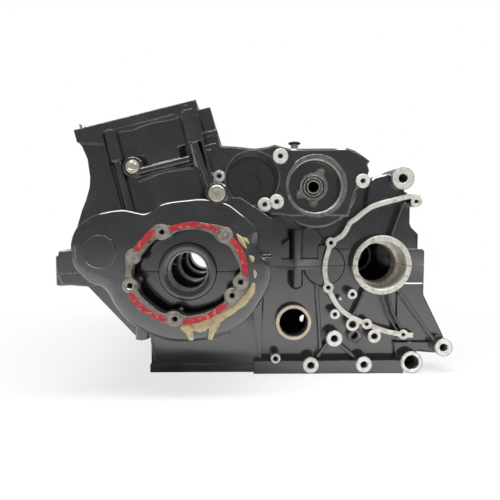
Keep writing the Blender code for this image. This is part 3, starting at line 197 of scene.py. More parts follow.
def casting_material(name, planes=(), old_planes=(), bores=()):
    """Gloss black paint with thin dust, bare on machined planes and bores, and stained on the old planes."""
    material, tree, shader = new_material(name)
    dust = from_group(tree, PATCHES, Scale=30.0, Low=0.45, High=0.8)
    smear = from_group(tree, PATCHES, Scale=130.0, Low=0.45, High=0.7)
    bare, old = bored_faces(tree, bores) if bores else 0.0, 0.0
    for axis, distances in planes:
        bare = figure(tree, "MAXIMUM", flat_faces(tree, axis, distances), bare)
    for axis, distances in old_planes:
        old = figure(tree, "MAXIMUM", flat_faces(tree, axis, distances), old)
    colour = blended(tree, dust, CAST_BLACK, DUSTY_BLACK)
    if planes:
        fresh = blended(tree, smear, MACHINED, STAINED)
        metal = blended(tree, old, fresh, blended(tree, smear, OLD_FACE, OLD_STAIN))
        bare = figure(tree, "MAXIMUM", bare, old)
        colour = blended(tree, bare, colour, metal)
    tree.links.new(colour, shader.inputs["Base Color"])
    gloss = figure(tree, "MULTIPLY_ADD", smear, 0.08, 0.16)
    tree.links.new(figure(tree, "MULTIPLY_ADD", bare, 0.28, gloss), shader.inputs["Roughness"])
    shader.inputs["Specular IOR Level"].default_value = 0.8
    tree.links.new(figure(tree, "SUBTRACT", 1.0, bare), shader.inputs["Coat Weight"])
    shader.inputs["Coat Roughness"].default_value = 0.07
    shader.inputs["Coat IOR"].default_value = 1.6
    if planes:
        tree.links.new(figure(tree, "MULTIPLY", bare, 0.35), shader.inputs["Metallic"])
    rounded_skin(tree, shader)
    return material


# Three places where the upper casting in model.glb stands off the photo. The rear side wall is the corners in
# these ranges of s, t and y. The rear column has its place (s, y), height and shift. The pocket's ring lies
# between two radii round the pocket's middle (x, z) and is cut off at the roof's line, which has a step in y.
WALL_RANGES = ((33.0, 45.0), (64.0, 135.5), (-141.6, -127.0))
WALL_DEPTH = -126.5
COLUMN = (39.5, -134.0)
COLUMN_REACH = 10.2
COLUMN_FOOT, COLUMN_TOP = 135.5, 181.0
COLUMN_SHIFT, FOOT_LIFT, FOOT_LENGTH = 4.0, 2.0, 3.5
POCKET = (150.6, 98.8)
POCKET_RING = (47.0, 51.5)
RING_SPAN, RING_DEPTHS = (128.0, 172.0), (-105.5, -57.0)
ROOF_START = (118.7, 143.0)
ROOF_SLOPE = 0.8 / 69.5
ROOF_STEP, STEP_DROP = -104.5, 2.0


def within(value, low, high):
    """True where the value lies between the two limits."""
    return (value > low) & (value < high)


def pressed(points):
    """Corners of the upper casting in metres, with rear wall, rear column and pocket ring set to the photo.

    The wall goes back behind the block's skin. The column shifts along the deck, and its foot also rises.
    The ring round the pocket ends at the roof: start + slope·x, less the drop in front of the step.
    """
    x, depth, z = (points[:, axis] * 1000 - CRANK[axis] for axis in (0, 1, 2))
    s = x * math.cos(LEAN) + z * math.sin(LEAN)
    t = z * math.cos(LEAN) - x * math.sin(LEAN)
    wall = within(s, *WALL_RANGES[0]) & within(t, *WALL_RANGES[1]) & within(depth, *WALL_RANGES[2])
    column = within(t, COLUMN_FOOT, COLUMN_TOP) & (depth < WALL_DEPTH + 0.5)
    column &= np.hypot(s - COLUMN[0], depth - COLUMN[1]) < COLUMN_REACH
    roof = ROOF_START[1] + ROOF_SLOPE * (x - ROOF_START[0]) - np.where(depth < ROOF_STEP, STEP_DROP, 0.0)
    ring = within(np.hypot(x - POCKET[0], z - POCKET[1]), *POCKET_RING) & within(depth, *RING_DEPTHS)
    ring &= (z > roof) & within(x, *RING_SPAN)
    depth = np.where(wall, WALL_DEPTH, depth)
    along = np.where(column, COLUMN_SHIFT, 0.0)
    up = np.where(column & (t < COLUMN_FOOT + FOOT_LENGTH), FOOT_LIFT, 0.0)
    x = x + along * math.cos(LEAN) - up * math.sin(LEAN)
    z = np.where(ring, roof, z + along * math.sin(LEAN) + up * math.cos(LEAN))
    return np.stack([x + CRANK[0], depth + CRANK[1], z + CRANK[2]], axis=1) / 1000


def welded_copy(node, name):
    """Copy of a CAD node as one surface: corners that round to the same micrometre become one point."""
    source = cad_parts[node].data
    points = np.empty(len(source.vertices) * 3)
    source.vertices.foreach_get("co", points)
    points = points.reshape(-1, 3)
    if node == "upper_crankcase":
        points = pressed(points)
    source.calc_loop_triangles()
    corners = np.empty(len(source.loop_triangles) * 3, np.int32)
    source.loop_triangles.foreach_get("vertices", corners)
    keys = np.round(points * 1e6).astype(np.int64)
    _, first, index = np.unique(keys, axis=0, return_index=True, return_inverse=True)
    corners = index.reshape(-1)[corners].reshape(-1, 3)
    whole = (corners != np.roll(corners, 1, axis=1)).all(axis=1)
    mesh = bpy.data.meshes.new(name)
    mesh.from_pydata(points[first].tolist(), [], corners[whole].tolist())
    mesh.shade_smooth()
    mesh.set_sharp_from_angle(angle=SMOOTH_TURN)
    piece = bpy.data.objects.new(name, mesh)
    bpy.context.scene.collection.objects.link(piece)
    return piece


deck_distance = (DECK_HEIGHT + float(CRANK @ LEAN_AXIS)) / 1000
machined_planes = [
    ((0.0, -1.0, 0.0), (-RIM_FACE / 1000,)), ((0.0, 1.0, 0.0), (CLUTCH_FACE / 1000,)),
    ((0.0, 0.0, -1.0), (0.0,)),
]
stained_planes = [((0.0, -1.0, 0.0), (-COVER_FACE / 1000,)), (tuple(LEAN_AXIS), (deck_distance,))]
OUTPUT = (239.0, 0.5)
BORES = [(0.0, 0.0, 25.4), (*OUTPUT, 22.0)]
casting_paint = casting_material("casting_paint", machined_planes, stained_planes, BORES)
for casting in ("upper_crankcase", "lower_crankcase"):
    skin = welded_copy(casting, casting.replace("crankcase", "casting"))
    skin.data.materials.append(casting_paint)
    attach(skin, "crankcase")
    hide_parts(casting)

# The crank bulge, the big rounded boss that carries the alternator cover. It is cast in one with the castings
# and painted with them. Its edge is tight on top and rolls back widely below the joint face.

BULGE_OUTLINE = [
    (-123.0, 24.0), (-121.0, 38.0), (-114.5, 51.0), (-102.5, 60.5), (-89.0, 66.5), (-67.0, 69.8),
    (-50.0, 66.8), (-43.2, 65.8), (-36.0, 68.5), (-22.5, 76.5), (2.0, 80.3), (22.0, 81.3), (44.0, 77.0),
    (57.0, 68.5), (68.0, 59.0), (78.4, 46.0), (79.5, 24.0), (90.5, 13.0), (93.0, -2.0), (89.5, -18.0),
    (72.5, -45.0), (60.0, -57.0), (42.0, -67.5), (20.0, -74.0), (4.0, -75.5), (-15.0, -75.0),
    (-35.0, -69.5), (-52.0, -61.0), (-66.0, -50.0), (-77.0, -36.0), (-83.0, -24.5), (-92.0, -14.5),
    (-107.0, -9.0), (-120.0, 4.0),
]
FLANGE_OUTLINE = [
    (-54.0, 29.0), (-42.0, 42.0), (-31.0, 53.0), (-23.0, 54.5), (-14.0, 52.5), (8.0, 57.0), (30.0, 54.0),
    (43.0, 51.5), (53.0, 40.0), (62.0, 24.0), (68.0, 7.0), (69.0, -8.0), (64.0, -20.0), (54.0, -32.0),
    (38.0, -42.0), (18.0, -49.5), (-2.0, -53.5), (-11.0, -56.5), (-20.0, -53.5), (-40.0, -42.5),
    (-54.0, -26.0), (-64.5, -17.0), (-66.5, -8.0), (-62.5, 4.0), (-63.0, 16.0), (-60.0, 25.0),
]
SKIN_COLUMNS = 420
MERGE_DISTANCE = 2e-7
BULGE_BACK = -120.0
BULGE_FOOT = -75.5
TIGHT_EDGE, WIDE_EDGE = 5.0, 14.0


def spline(before, start, end, after, u):
    """Catmull-Rom curve from start to end, u running from 0 to 1, shaped by the points before and after."""
    return ((2 * start) + (end - before) * u + (2 * before - 5 * start + 4 * end - after) * u**2
            + (3 * start - before - 3 * end + after) * u**3) / 2


def closed_curve(points, count):
    """Closed Catmull-Rom curve through the points, at count places spaced evenly along its length."""
    knots = np.array(points, float)
    place = np.linspace(0, len(knots), 24 * len(knots), endpoint=False)
    part, u = place.astype(int), (place % 1)[:, None]
    before, start, end, after = (knots[(part + shift) % len(knots)] for shift in (-1, 0, 1, 2))
    curve = spline(before, start, end, after, u)
    step = np.linalg.norm(np.roll(curve, -1, axis=0) - curve, axis=1)
    run = np.concatenate([[0], np.cumsum(step)])
    wanted = np.linspace(0, run[-1], count, endpoint=False)
    looped = np.vstack([curve, curve[:1]])
    return np.stack([np.interp(wanted, run, looped[:, axis]) for axis in (0, 1)], axis=1)


def outward(loop):
    """Unit normal on the outer side of a flat loop, at each point: its neighbours' chord, turned by 90°."""
    chord = np.roll(loop, -1, axis=0) - np.roll(loop, 1, axis=0)
    normal = np.stack([chord[:, 1], -chord[:, 0]], axis=1)
    normal /= np.linalg.norm(normal, axis=1, keepdims=True)
    area = (loop[:, 0] * np.roll(loop[:, 1], -1) - np.roll(loop[:, 0], -1) * loop[:, 1]).sum()
    return normal * np.sign(area)


def reach_at(loop, angles):
    """Radius of a star-shaped loop round the crank axis at the given angles, read between its points."""
    turn = np.arctan2(loop[:, 1], loop[:, 0])
    order = np.argsort(turn)
    return np.interp(angles, turn[order], np.hypot(loop[:, 0], loop[:, 1])[order], period=2 * math.pi)


def layered(rows):
    """Grid of points from rows of (loop of x and z, y): y is one depth for the row, or one for each point."""
    return np.array([
        np.stack([loop[:, 0], np.broadcast_to(y, len(loop)), loop[:, 1]], axis=1) for loop, y in rows
    ])


def build(name, parts, materials, slot, body="crankcase", replaces=(), sharp=36.0):
    """One mesh from grids of points whose columns close into loops.

    A part is (grid, ring, stuff). Quads join neighbouring rows. A ring joins its last row to its first, and
    any other grid gets the middle of each end row as a closing point. Stuff is the material of each band of
    quads. U runs round a row from 0 to 1, and V is the length along the first column in metres.
    """
    points, corners, stuffs, charts, total = [], [], [], [], 0
    for grid, ring, stuff in parts:
        grid = (np.asarray(grid, float) + CRANK) / 1000
        if not ring:
            ends = np.repeat(grid[[0, -1]].mean(axis=1, keepdims=True), grid.shape[1], axis=1)
            grid = np.concatenate([ends[:1], grid, ends[1:]])
        rows, columns = grid.shape[:2]
        bands = rows if ring else rows - 1
        if not isinstance(stuff, int) and not ring:
            stuff = [stuff[0], *stuff, stuff[-1]]
        along = np.linalg.norm(np.diff(np.vstack([grid[:, 0], grid[:1, 0]]), axis=0), axis=1)
        run = np.concatenate([[0], np.cumsum(along)])
        here, after = np.arange(bands)[:, None], (np.arange(bands)[:, None] + 1) % rows
        column, beside = np.arange(columns)[None], (np.arange(columns)[None] + 1) % columns
        quad = [here * columns + column, here * columns + beside,
                after * columns + beside, after * columns + column]
        corners.append(np.stack(np.broadcast_arrays(*quad), axis=-1).reshape(-1, 4) + total)
        u = np.stack([column, column + 1, column + 1, column], axis=-1) / columns
        v = np.stack([run[:bands], run[:bands], run[1:bands + 1], run[1:bands + 1]], axis=-1)[:, None]
        charts.append(np.stack(np.broadcast_arrays(u, v), axis=-1).reshape(-1, 2))
        stuffs.append(np.repeat(np.broadcast_to(stuff, bands), columns))
        points.append(grid.reshape(-1, 3))
        total += rows * columns
    mesh = bpy.data.meshes.new(name)
    mesh.from_pydata(np.concatenate(points).tolist(), [], np.concatenate(corners).tolist())
    mesh.polygons.foreach_set("material_index", np.concatenate(stuffs).astype(np.int32))
    chart = np.concatenate(charts).astype(np.float32).ravel()
    mesh.uv_layers.new(name="surface").data.foreach_set("uv", chart)
    whole = bmesh.new()
    whole.from_mesh(mesh)
    bmesh.ops.remove_doubles(whole, verts=whole.verts, dist=MERGE_DISTANCE)
    bmesh.ops.dissolve_degenerate(whole, edges=whole.edges, dist=MERGE_DISTANCE)
    bmesh.ops.recalc_face_normals(whole, faces=whole.faces)
    whole.to_mesh(mesh)
    whole.free()
    for material in materials:
        mesh.materials.append(material)
    mesh.shade_smooth()
    mesh.set_sharp_from_angle(angle=math.radians(sharp))
    piece = bpy.data.objects.new(name, mesh)
    bpy.context.scene.collection.objects.link(piece)
    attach(piece, body)
    if replaces:
        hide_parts(*replaces)
    return piece


def bulge_rows(grow, lift, steps=12):
    """Rows of the bulge's skin: its edge, a quarter round of radius 5 to 14 mm, then flat to the flange."""
    loop = closed_curve(BULGE_OUTLINE, SKIN_COLUMNS)
    normal = outward(loop)
    radius = TIGHT_EDGE + (WIDE_EDGE - TIGHT_EDGE) * np.clip(0.35 - normal[:, 1], 0, 1)
    edge = loop + normal * grow
    rows = [(edge, BULGE_BACK), (edge, BULGE_BACK - 30.0)]
    for turn in np.linspace(math.pi / 2, 0, steps + 1):
        inset = (radius * (1 - math.sin(turn)))[:, None]
        rows.append((edge - normal * inset, BULGE_FACE - lift + radius * (1 - math.cos(turn))))
    flange = closed_curve(FLANGE_OUTLINE, 400)
    angle = np.arctan2(edge[:, 1], edge[:, 0])
    inner = reach_at(flange, angle) - 2.0
    foot = np.stack([inner * np.cos(angle), inner * np.sin(angle)], axis=1)
    return rows + [(foot, BULGE_FACE - lift)]


plain_paint = casting_material("gloss_paint")
skin_rows = bulge_rows(0.45, 0.15) + bulge_rows(-0.8, -0.8)[::-1]
build("crank_bulge_skin", [(layered(skin_rows), True, 0)], [plain_paint], "black_casting")

# Cover screw bosses. Cast with the flange and faced with it, then drilled and tapped, so that the end is bare
# and the sides are black. Each sleeve is the boss itself, round, with its chamfer and its thread.

COVER_BOSSES = {
    "top_front": (-23.7, 45.8, 8.4, 3.1), "top_rear": (43.7, 42.7, 8.4, 3.1), "rear": (60.1, -8.1, 8.2, 3.1),
    "rear_low": (51.0, -22.7, 8.4, 3.1), "bottom": (-10.8, -48.0, 8.4, 3.1),
    "front_low": (-58.7, -11.7, 8.2, 4.7), "front": (-54.6, 19.8, 8.2, 0.0),
}
ROUND, HEXAGON, THREAD = 0, 1, 2
THREAD_PITCH = 1.25
THREAD_DEPTH = 0.3
SIDE, END, HOLE = 0, 1, 2
OVERSIZE = 0.15
PROUD = 0.12
HOLE_SHARE = 0.9


def turned(profile, centre, axis=(0, 1, 0), steps=56):
    """Grid of a profile turned round an axis: centre + axis·distance + radius·(side·cos a + across·sin a).

    A third value in a profile row shapes its radius: a hexagon, or a thread whose ridges climb as it turns.
    """
    profile = np.array([(*row, ROUND)[:3] for row in profile], float)
    axis = np.array(axis, float) / np.linalg.norm(axis)
    side = np.cross(axis, (1.0, 0.0, 0.0) if abs(axis[1]) > 0.9 else (0.0, 1.0, 0.0))
    side /= np.linalg.norm(side)
    across = np.cross(axis, side)
    turn = np.linspace(0, 2 * math.pi, steps, endpoint=False)
    distance, radius, shape = (profile[:, k, None] for k in range(3))
    flat = math.cos(math.pi / 6) / np.cos(turn % (math.pi / 3) - math.pi / 6)
    ridge = THREAD_DEPTH * np.cos(2 * math.pi * (distance / THREAD_PITCH - turn / (2 * math.pi)))
    reach = np.where(shape == HEXAGON, radius * flat, radius + np.where(shape == THREAD, ridge, 0.0))
    ring = side * np.cos(turn)[:, None] + across * np.sin(turn)[:, None]
    return np.array(centre, float) + distance[..., None] * axis + reach[..., None] * ring


def sleeve(x, z, radius, face, hole, deep=12.0, back=9.0, chamfer=0.6, threaded=True, axis=(0, 1, 0)):
    """Parts of a boss: outer side, chamfer, flat end, then its hole's wall. A hole of 0 makes it solid."""
    outer = radius + OVERSIZE
    rows = [(back, outer), (chamfer, outer), (-PROUD, outer - chamfer)]
    stuff = [SIDE, END]
    if hole <= 0:
        return [(turned([*rows, (-PROUD, 0.5)], (x, face, z), axis), False, [*stuff, END])]
    hole *= HOLE_SHARE
    rows += [(-PROUD, hole + 0.7), (0.6, hole)]
    stuff += [END, END]
    count = 44 if threaded else 2
    shape = THREAD if threaded else ROUND
    rows += [(distance, hole, shape) for distance in np.linspace(1.2, deep, count)]
    stuff += [HOLE] * count
    rows += [(deep + 0.2, (hole + outer) / 2)]
    stuff += [HOLE, SIDE]
    return [(turned(rows, (x, face, z), axis), True, stuff)]


def turned_piece(name, profile, centre, materials, slot, axis=(0, 1, 0), steps=56, ring=True, stuff=0,
                 **more):
    """Builds one piece that is a single turned profile."""
    return build(name, [(turned(profile, centre, axis, steps), ring, stuff)], materials, slot, **more)


def turning_marks_group():
    """Height in metres of tool marks: noise on the UV, fine across the feed and long round the piece."""
    group, given, result = new_group("turning_marks", {"Pitch": 2600.0, "Depth": 2e-5}, "Height")
    chart = add(group, "ShaderNodeTexCoord").outputs["UV"]
    parts = add(group, "ShaderNodeSeparateXYZ", {"Vector": chart}).outputs
    across = figure(group, "MULTIPLY", parts["Y"], given["Pitch"])
    round_it = figure(group, "MULTIPLY", parts["X"], 3.0)
    place = add(group, "ShaderNodeCombineXYZ", {"X": round_it, "Y": across}).outputs["Vector"]
    noise = add(group, "ShaderNodeTexNoise", {"Vector": place, "Scale": 1.0, "Detail": 3.0}).outputs["Fac"]
    group.links.new(figure(group, "MULTIPLY", noise, given["Depth"]), result)
    return group


TURNING_MARKS = turning_marks_group()


def bare_material(name, colour=MACHINED, stain=STAINED, rough=0.42, metallic=0.35, pitch=2600.0, depth=2e-5):
    """Machined metal: a bright and a stained tone in patches, with the tool's marks as relief."""
    material, tree, shader = new_material(name)
    smear = from_group(tree, PATCHES, Scale=170.0, Low=0.42, High=0.72)
    marks = from_group(tree, TURNING_MARKS, Pitch=pitch, Depth=depth)
    tree.links.new(blended(tree, smear, colour, stain), shader.inputs["Base Color"])
    tree.links.new(figure(tree, "MULTIPLY_ADD", smear, 0.15, rough), shader.inputs["Roughness"])
    shader.inputs["Metallic"].default_value = metallic
    edge = add(tree, "ShaderNodeBevel", {"Radius": 0.0003}, samples=4)
    emboss(tree, shader, marks, 0.6, Normal=edge.outputs["Normal"])
    return material


fresh_face = bare_material("fresh_boss_face", (0.88, 0.87, 0.83, 1.0), (0.66, 0.63, 0.55, 1.0))
old_face = bare_material("stained_flange_face", (0.34, 0.31, 0.28, 1.0), (0.13, 0.105, 0.09, 1.0), 0.5)
# Darker metal for the walls of the tapped holes.
tapped_hole = bare_material("tapped_hole", (0.26, 0.25, 0.23, 1.0), (0.09, 0.085, 0.08, 1.0), 0.4, 0.6)
boss_finish = [plain_paint, old_face, tapped_hole]
bosses = []
for boss_x, boss_z, boss_radius, boss_hole in COVER_BOSSES.values():
    bosses += sleeve(boss_x, boss_z, boss_radius, COVER_FACE, boss_hole, back=4.0)
build("cover_screw_bosses", bosses, boss_finish, "black_casting")

# The edge of the cover opening, between those bosses. The casting's own face is the flange. This is the lip
# inside it, softened and stained like the face, and the black wall that runs back from it to the chamber.

OPENING_OUTLINE = [
    (-47.0, 21.0), (-38.0, 32.5), (-29.0, 38.5), (-17.0, 40.0), (-8.0, 46.0), (10.0, 49.0), (28.0, 45.0),
    (37.0, 36.0), (48.0, 30.5), (56.0, 17.0), (60.0, 3.5), (53.0, -4.0), (53.5, -14.0), (44.0, -22.0),
    (41.5, -31.0), (24.0, -40.5), (4.0, -45.0), (-6.0, -42.0), (-15.0, -40.0), (-24.0, -41.5),
    (-40.0, -29.5), (-49.5, -18.5), (-50.5, -8.0), (-56.8, -1.5), (-55.0, 11.0),
]
edge_angles = np.linspace(-math.pi, math.pi, 720, endpoint=False)
opening_reach = reach_at(closed_curve(OPENING_OUTLINE, 900), edge_angles)


def spoke(reach):
    """Loop round the crank axis whose point at each angle lies at the given radius."""
    return np.stack([reach * np.cos(edge_angles), reach * np.sin(edge_angles)], axis=1)


WALL_END = -160.2
wall_rows = [
    (spoke(opening_reach + 1.2), COVER_FACE + 0.5), (spoke(opening_reach + 0.1), COVER_FACE - 0.06),
    (spoke(opening_reach - 0.25), COVER_FACE + 0.3), (spoke(opening_reach - 0.25), WALL_END),
    (spoke(opening_reach + 1.2), WALL_END),
]
build("opening_wall", [(layered(wall_rows), True, [END, END, SIDE, SIDE, SIDE])], [plain_paint, old_face],
      "black_casting")

# The boss of the balance shaft: a disc left proud on the bulge, with a machining line round it.

DISC = (-91.3, 24.7)
disc_rows = [(2.0, 18.6), (-1.3, 18.2), (-1.6, 17.6), (-1.15, 17.3), (-1.15, 12.0), (-1.15, 0.5)]
turned_piece("balance_shaft_disc", disc_rows, (DISC[0], BULGE_FACE, DISC[1]), [plain_paint], "black_casting",
             steps=96, ring=False)

# Old gasket: torn strips of red fibre still stuck to the flange, scuffed through to the metal in places.

GASKET_THICKNESS = 0.5
SEAT_GAP = 0.3
GASKET_LINES = [
    ([(-51.8, 25.6), (-45.2, 34.0), (-37.4, 42.2), (-31.0, 47.6)], 6.0),
    ([(-15.8, 48.9), (-4.0, 51.6), (8.0, 54.0), (18.0, 53.0)], 5.8),
    ([(19.0, 52.6), (28.0, 51.0), (36.6, 46.8)], 4.8),
    ([(49.8, 39.0), (57.4, 29.4), (63.0, 15.8), (65.4, -0.5)], 6.2),
    ([(-2.5, -51.2), (14.0, -48.4), (29.4, -42.4), (44.0, -31.8)], 5.8),
    ([(-59.0, -19.4), (-51.0, -30.6), (-40.8, -39.4), (-19.2, -50.0)], 5.2),
]
GASKET_RED = (0.52, 0.022, 0.035, 1.0)
SCUFFED_RED = (0.60, 0.30, 0.24, 1.0)


def open_curve(points, count):
    """Open Catmull-Rom curve through the points, at count places spaced evenly along its length."""
    knots = np.array(points, float)
    knots = np.vstack([2 * knots[0] - knots[1], knots, 2 * knots[-1] - knots[-2]])
    place = np.linspace(0, len(knots) - 3 - 1e-9, 40 * len(knots))
    part, u = place.astype(int), (place % 1)[:, None]
    before, start, end, after = (knots[part + shift] for shift in range(4))
    curve = spline(before, start, end, after, u)
    run = np.concatenate([[0], np.cumsum(np.linalg.norm(np.diff(curve, axis=0), axis=1))])
    wanted = np.linspace(0, run[-1], count)
    return np.stack([np.interp(wanted, run, curve[:, axis]) for axis in (0, 1)], axis=1)


def sideways(curve):
    """Unit vectors square to an open curve, one at each point, and the curve's length."""
    along = np.gradient(curve, axis=0)
    across = np.stack([-along[:, 1], along[:, 0]], axis=1) / np.linalg.norm(along, axis=1, keepdims=True)
    return across, np.linalg.norm(np.diff(curve, axis=0), axis=1).sum()


def torn_strip(line, width, seed, count=160, ragged=0.42):
    """Band along a line at the flange's face, its two edges and both ends torn by layered sine waves."""
    curve = open_curve(line, count)
    across, length = sideways(curve)
    place = np.linspace(0, 1, count)
    tear = np.random.default_rng(seed)
    edges = []
    for side in (-1, 1):
        rough = sum(np.sin(place * length * rate + tear.uniform(0, 6)) / k
                    for k, rate in enumerate((0.55, 1.3, 2.9, 4.7), 1))
        taper = np.clip(np.minimum(place, 1 - place) * length / (1.2 + tear.uniform(0, 2.2)), 0.04, 1) ** 0.6
        half = (width / 2 + 0.35 + ragged * (rough - 0.4) / 2) * taper
        edges.append(curve + across * side * half[:, None])
    left, right = edges
    front = COVER_FACE - SEAT_GAP - GASKET_THICKNESS
    waves = 0.06 * np.sin(place * length * 1.7)
    corners = [(left, front + 0.15), (left * 0.9 + right * 0.1, front), (left * 0.1 + right * 0.9, front),
               (right, front + 0.15), (right, COVER_FACE - 0.13), (left, COVER_FACE - 0.13)]
    ring = []
    for loop, depth in corners:
        wavy = np.full(count, depth) + waves * (depth < COVER_FACE - 0.2)
        ring.append(np.stack([loop[:, 0], wavy, loop[:, 1]], axis=1))
    return np.stack(ring, axis=1)


def gasket_material():
    """Red fibre, scuffed paler in patches, with a matted fibre relief."""
    material, tree, shader = new_material("torn_red_gasket")
    scuff = from_group(tree, PATCHES, Scale=260.0, Low=0.52, High=0.68)
    fibre = from_group(tree, PATCHES, Scale=1400.0, Low=0.3, High=0.7)
    red = blended(tree, fibre, GASKET_RED, (0.38, 0.012, 0.022, 1.0))
    tree.links.new(blended(tree, figure(tree, "MULTIPLY", scuff, 0.75), red, SCUFFED_RED),
                   shader.inputs["Base Color"])
    tree.links.new(figure(tree, "MULTIPLY_ADD", fibre, 0.2, 0.45), shader.inputs["Roughness"])
    emboss(tree, shader, figure(tree, "MULTIPLY", fibre, 6e-5), 0.7)
    return material


red_fibre = gasket_material()
for number, (gasket_line, gasket_width) in enumerate(GASKET_LINES, 1):
    build(f"torn_gasket_{number}", [(torn_strip(gasket_line, gasket_width, number), False, 0)], [red_fibre],
          "red_gasket", replaces=(f"gasket_remnant_{number}",), sharp=60.0)

# Hardened sealant, squeezed out below the rear half of the flange. It has run into two drips on the bulge's
# face, and two patches of crumbs are left by the rear screws. Lumpy beads with a round back, matt and tan.

BULGE_SKIN_FACE = BULGE_FACE - 0.15
FIRST_SEED = 40
SEALANT_BEADS = {
    "sealant_residue_1": [
        ([(74.5, -9.0, 2.6), (71.5, -18.5, 4.6), (61.5, -30.5, 4.2), (50.0, -39.0, 4.0), (38.0, -46.4, 4.8),
          (24.0, -53.0, 5.2), (8.0, -56.0, 4.6), (-3.5, -56.4, 2.4)], 1.0),
        ([(0.5, -53.5, 9.0), (3.4, -59.5, 6.4), (5.0, -65.0, 4.3), (5.8, -70.0, 3.5),
          (5.9, -73.4, 3.3)], 1.25),
        ([(31.5, -50.0, 10.0), (30.8, -57.0, 5.4), (28.6, -63.5, 3.7), (27.2, -69.0, 3.3),
          (26.4, -72.2, 3.1)], 1.25),
        ([(27.0, -54.0, 4.0), (20.0, -56.0, 5.4), (13.0, -57.2, 6.0), (7.0, -58.0, 4.0)], 1.0),
    ],
    "sealant_residue_2": [
        ([(56.0, 44.0, 1.0), (60.0, 38.5, 2.8), (64.0, 32.0, 2.4), (66.6, 28.0, 1.0)], 0.8),
        ([(63.0, 40.0, 0.8), (66.5, 37.0, 1.7), (69.0, 33.5, 0.8)], 0.5),
    ],
    "sealant_residue_3": [
        ([(69.5, 20.6, 1.0), (72.4, 17.4, 2.6), (73.4, 13.5, 1.2)], 0.7),
        ([(74.5, 5.0, 0.7), (76.0, 1.0, 1.8), (75.5, -4.0, 0.8)], 0.6),
    ],
}


def bead(line, height, seed, count=150, section=22):
    """Closed bead along a line of (x, z, half width): half an ellipse, lumpy with slow and fast waves."""
    line = np.array(line, float)
    curve = open_curve(line[:, :2], count)
    across, length = sideways(curve)
    place = np.linspace(0, 1, count)
    half = np.interp(place, np.linspace(0, 1, len(line)), line[:, 2])
    lump = np.random.default_rng(seed)
    wave = sum(np.sin(place * length * rate + lump.uniform(0, 6)) / k
               for k, rate in enumerate((0.4, 1.1, 2.3), 1))
    half = half * (1 + 0.10 * wave) * np.sin(np.clip(place, 0.002, 0.998) * math.pi) ** 0.12
    turn = np.linspace(0, 2 * math.pi, section, endpoint=False)
    lumps = 1 + 0.18 * np.sin(3 * turn + place[:, None] * length * 0.8) + 0.12 * wave[:, None]
    out = np.where(np.sin(turn) > 0, height * np.sin(turn) * lumps, 0.25 * np.sin(turn))
    flat = curve[:, None] + (across * half[:, None])[:, None] * np.cos(turn)[:, None]
    return np.stack([flat[..., 0], bulge_face_at(flat[..., 1]) - out, flat[..., 1]], axis=-1)


def bulge_face_at(z):
    """Depth of the bulge's front: flat, then rolling back round a circle of 14 mm above its lower edge."""
    into = np.clip(WIDE_EDGE - (z - BULGE_FOOT), 0, WIDE_EDGE)
    return BULGE_SKIN_FACE + WIDE_EDGE - np.sqrt(WIDE_EDGE**2 - into**2)


def sealant_material():
    """Tan silicone: a pale and a dirty tone in clouds, matt, with fine pits."""
    material, tree, shader = new_material("hardened_sealant")
    dirt = from_group(tree, PATCHES, Scale=150.0, Low=0.45, High=0.7)
    pits = from_group(tree, PATCHES, Scale=900.0, Low=0.4, High=0.65)
    tree.links.new(blended(tree, dirt, (0.60, 0.49, 0.27, 1.0), (0.34, 0.28, 0.17, 1.0)),
                   shader.inputs["Base Color"])
    shader.inputs["Roughness"].default_value = 0.5
    emboss(tree, shader, figure(tree, "MULTIPLY", pits, 1e-4), 0.8)
    return material


tan_sealant = sealant_material()
for node, beads in SEALANT_BEADS.items():
    parts = [(bead(line, height, FIRST_SEED + k), False, 0) for k, (line, height) in enumerate(beads)]
    build(node.replace("residue", "bead"), parts, [tan_sealant], "tan_sealant", replaces=(node,), sharp=70.0)

# Fitted in the flange's screw holes: a hollow steel dowel at the front, and the stub of a broken screw.

bright_steel = bare_material("bright_steel", (0.70, 0.69, 0.66, 1.0), (0.48, 0.46, 0.43, 1.0), 0.25, 0.9)
torn_steel = bare_material("torn_steel", (0.55, 0.53, 0.50, 1.0), (0.32, 0.30, 0.28, 1.0), 0.45, 0.8,
                           pitch=900.0, depth=1.2e-4)
boss_x, boss_z = COVER_BOSSES["front_low"][:2]
dowel = [(0.0, 4.1), (0.5, 4.65), (7.4, 4.65), (7.4, 3.25), (0.5, 3.25), (0.0, 3.7)]
turned_piece("hollow_cover_dowel", dowel, (boss_x, COVER_FACE, boss_z), [bright_steel], "bright_steel",
             replaces=("cover_dowel",))
boss_x, boss_z = COVER_BOSSES["top_rear"][:2]
stub = turned([(12.8, 2.2), (12.8, 2.7), (1.2, 2.7), (0.7, 2.4), (0.75, 1.7), (0.95, 0.9)],
              (boss_x, COVER_FACE, boss_z))
torn_depth = np.array([1.0, 0.9, 0.8, 0.5])
stub[2:, :, 1] += 0.28 * np.sin(np.arange(stub.shape[1]) * 0.9) * torn_depth[:, None]
build("sheared_screw_stub", [(stub, False, 0)], [torn_steel], "bright_steel", replaces=("broken_screw_stub",))

# Main bearings. The ring of each bearing web is line bored through both castings, and three of the four still
# hold their pair of thin half shells, steel backed with a soft grey lining and an oil groove. The first web's
# bore has a turned black rim in front of its shells.

WEB_PITCH = 88.0
FIRST_WEB = -142.0
SHELL_RADII = (21.5, 23.3)
SHELL_INSET, SHELL_WIDTH = 1.0, 20.0


def half_ring(section, start, steps=48):
    """Grid of a (radius, y) section carried round the crank axis from a start angle through 178 degrees."""
    turn = np.radians(start + np.linspace(1.0, 179.0, steps))[:, None]
    radius, depth = np.array(section, float).T
    depth = np.broadcast_to(depth, (steps, len(depth)))
    return np.stack([radius * np.cos(turn), depth, radius * np.sin(turn)], axis=-1)


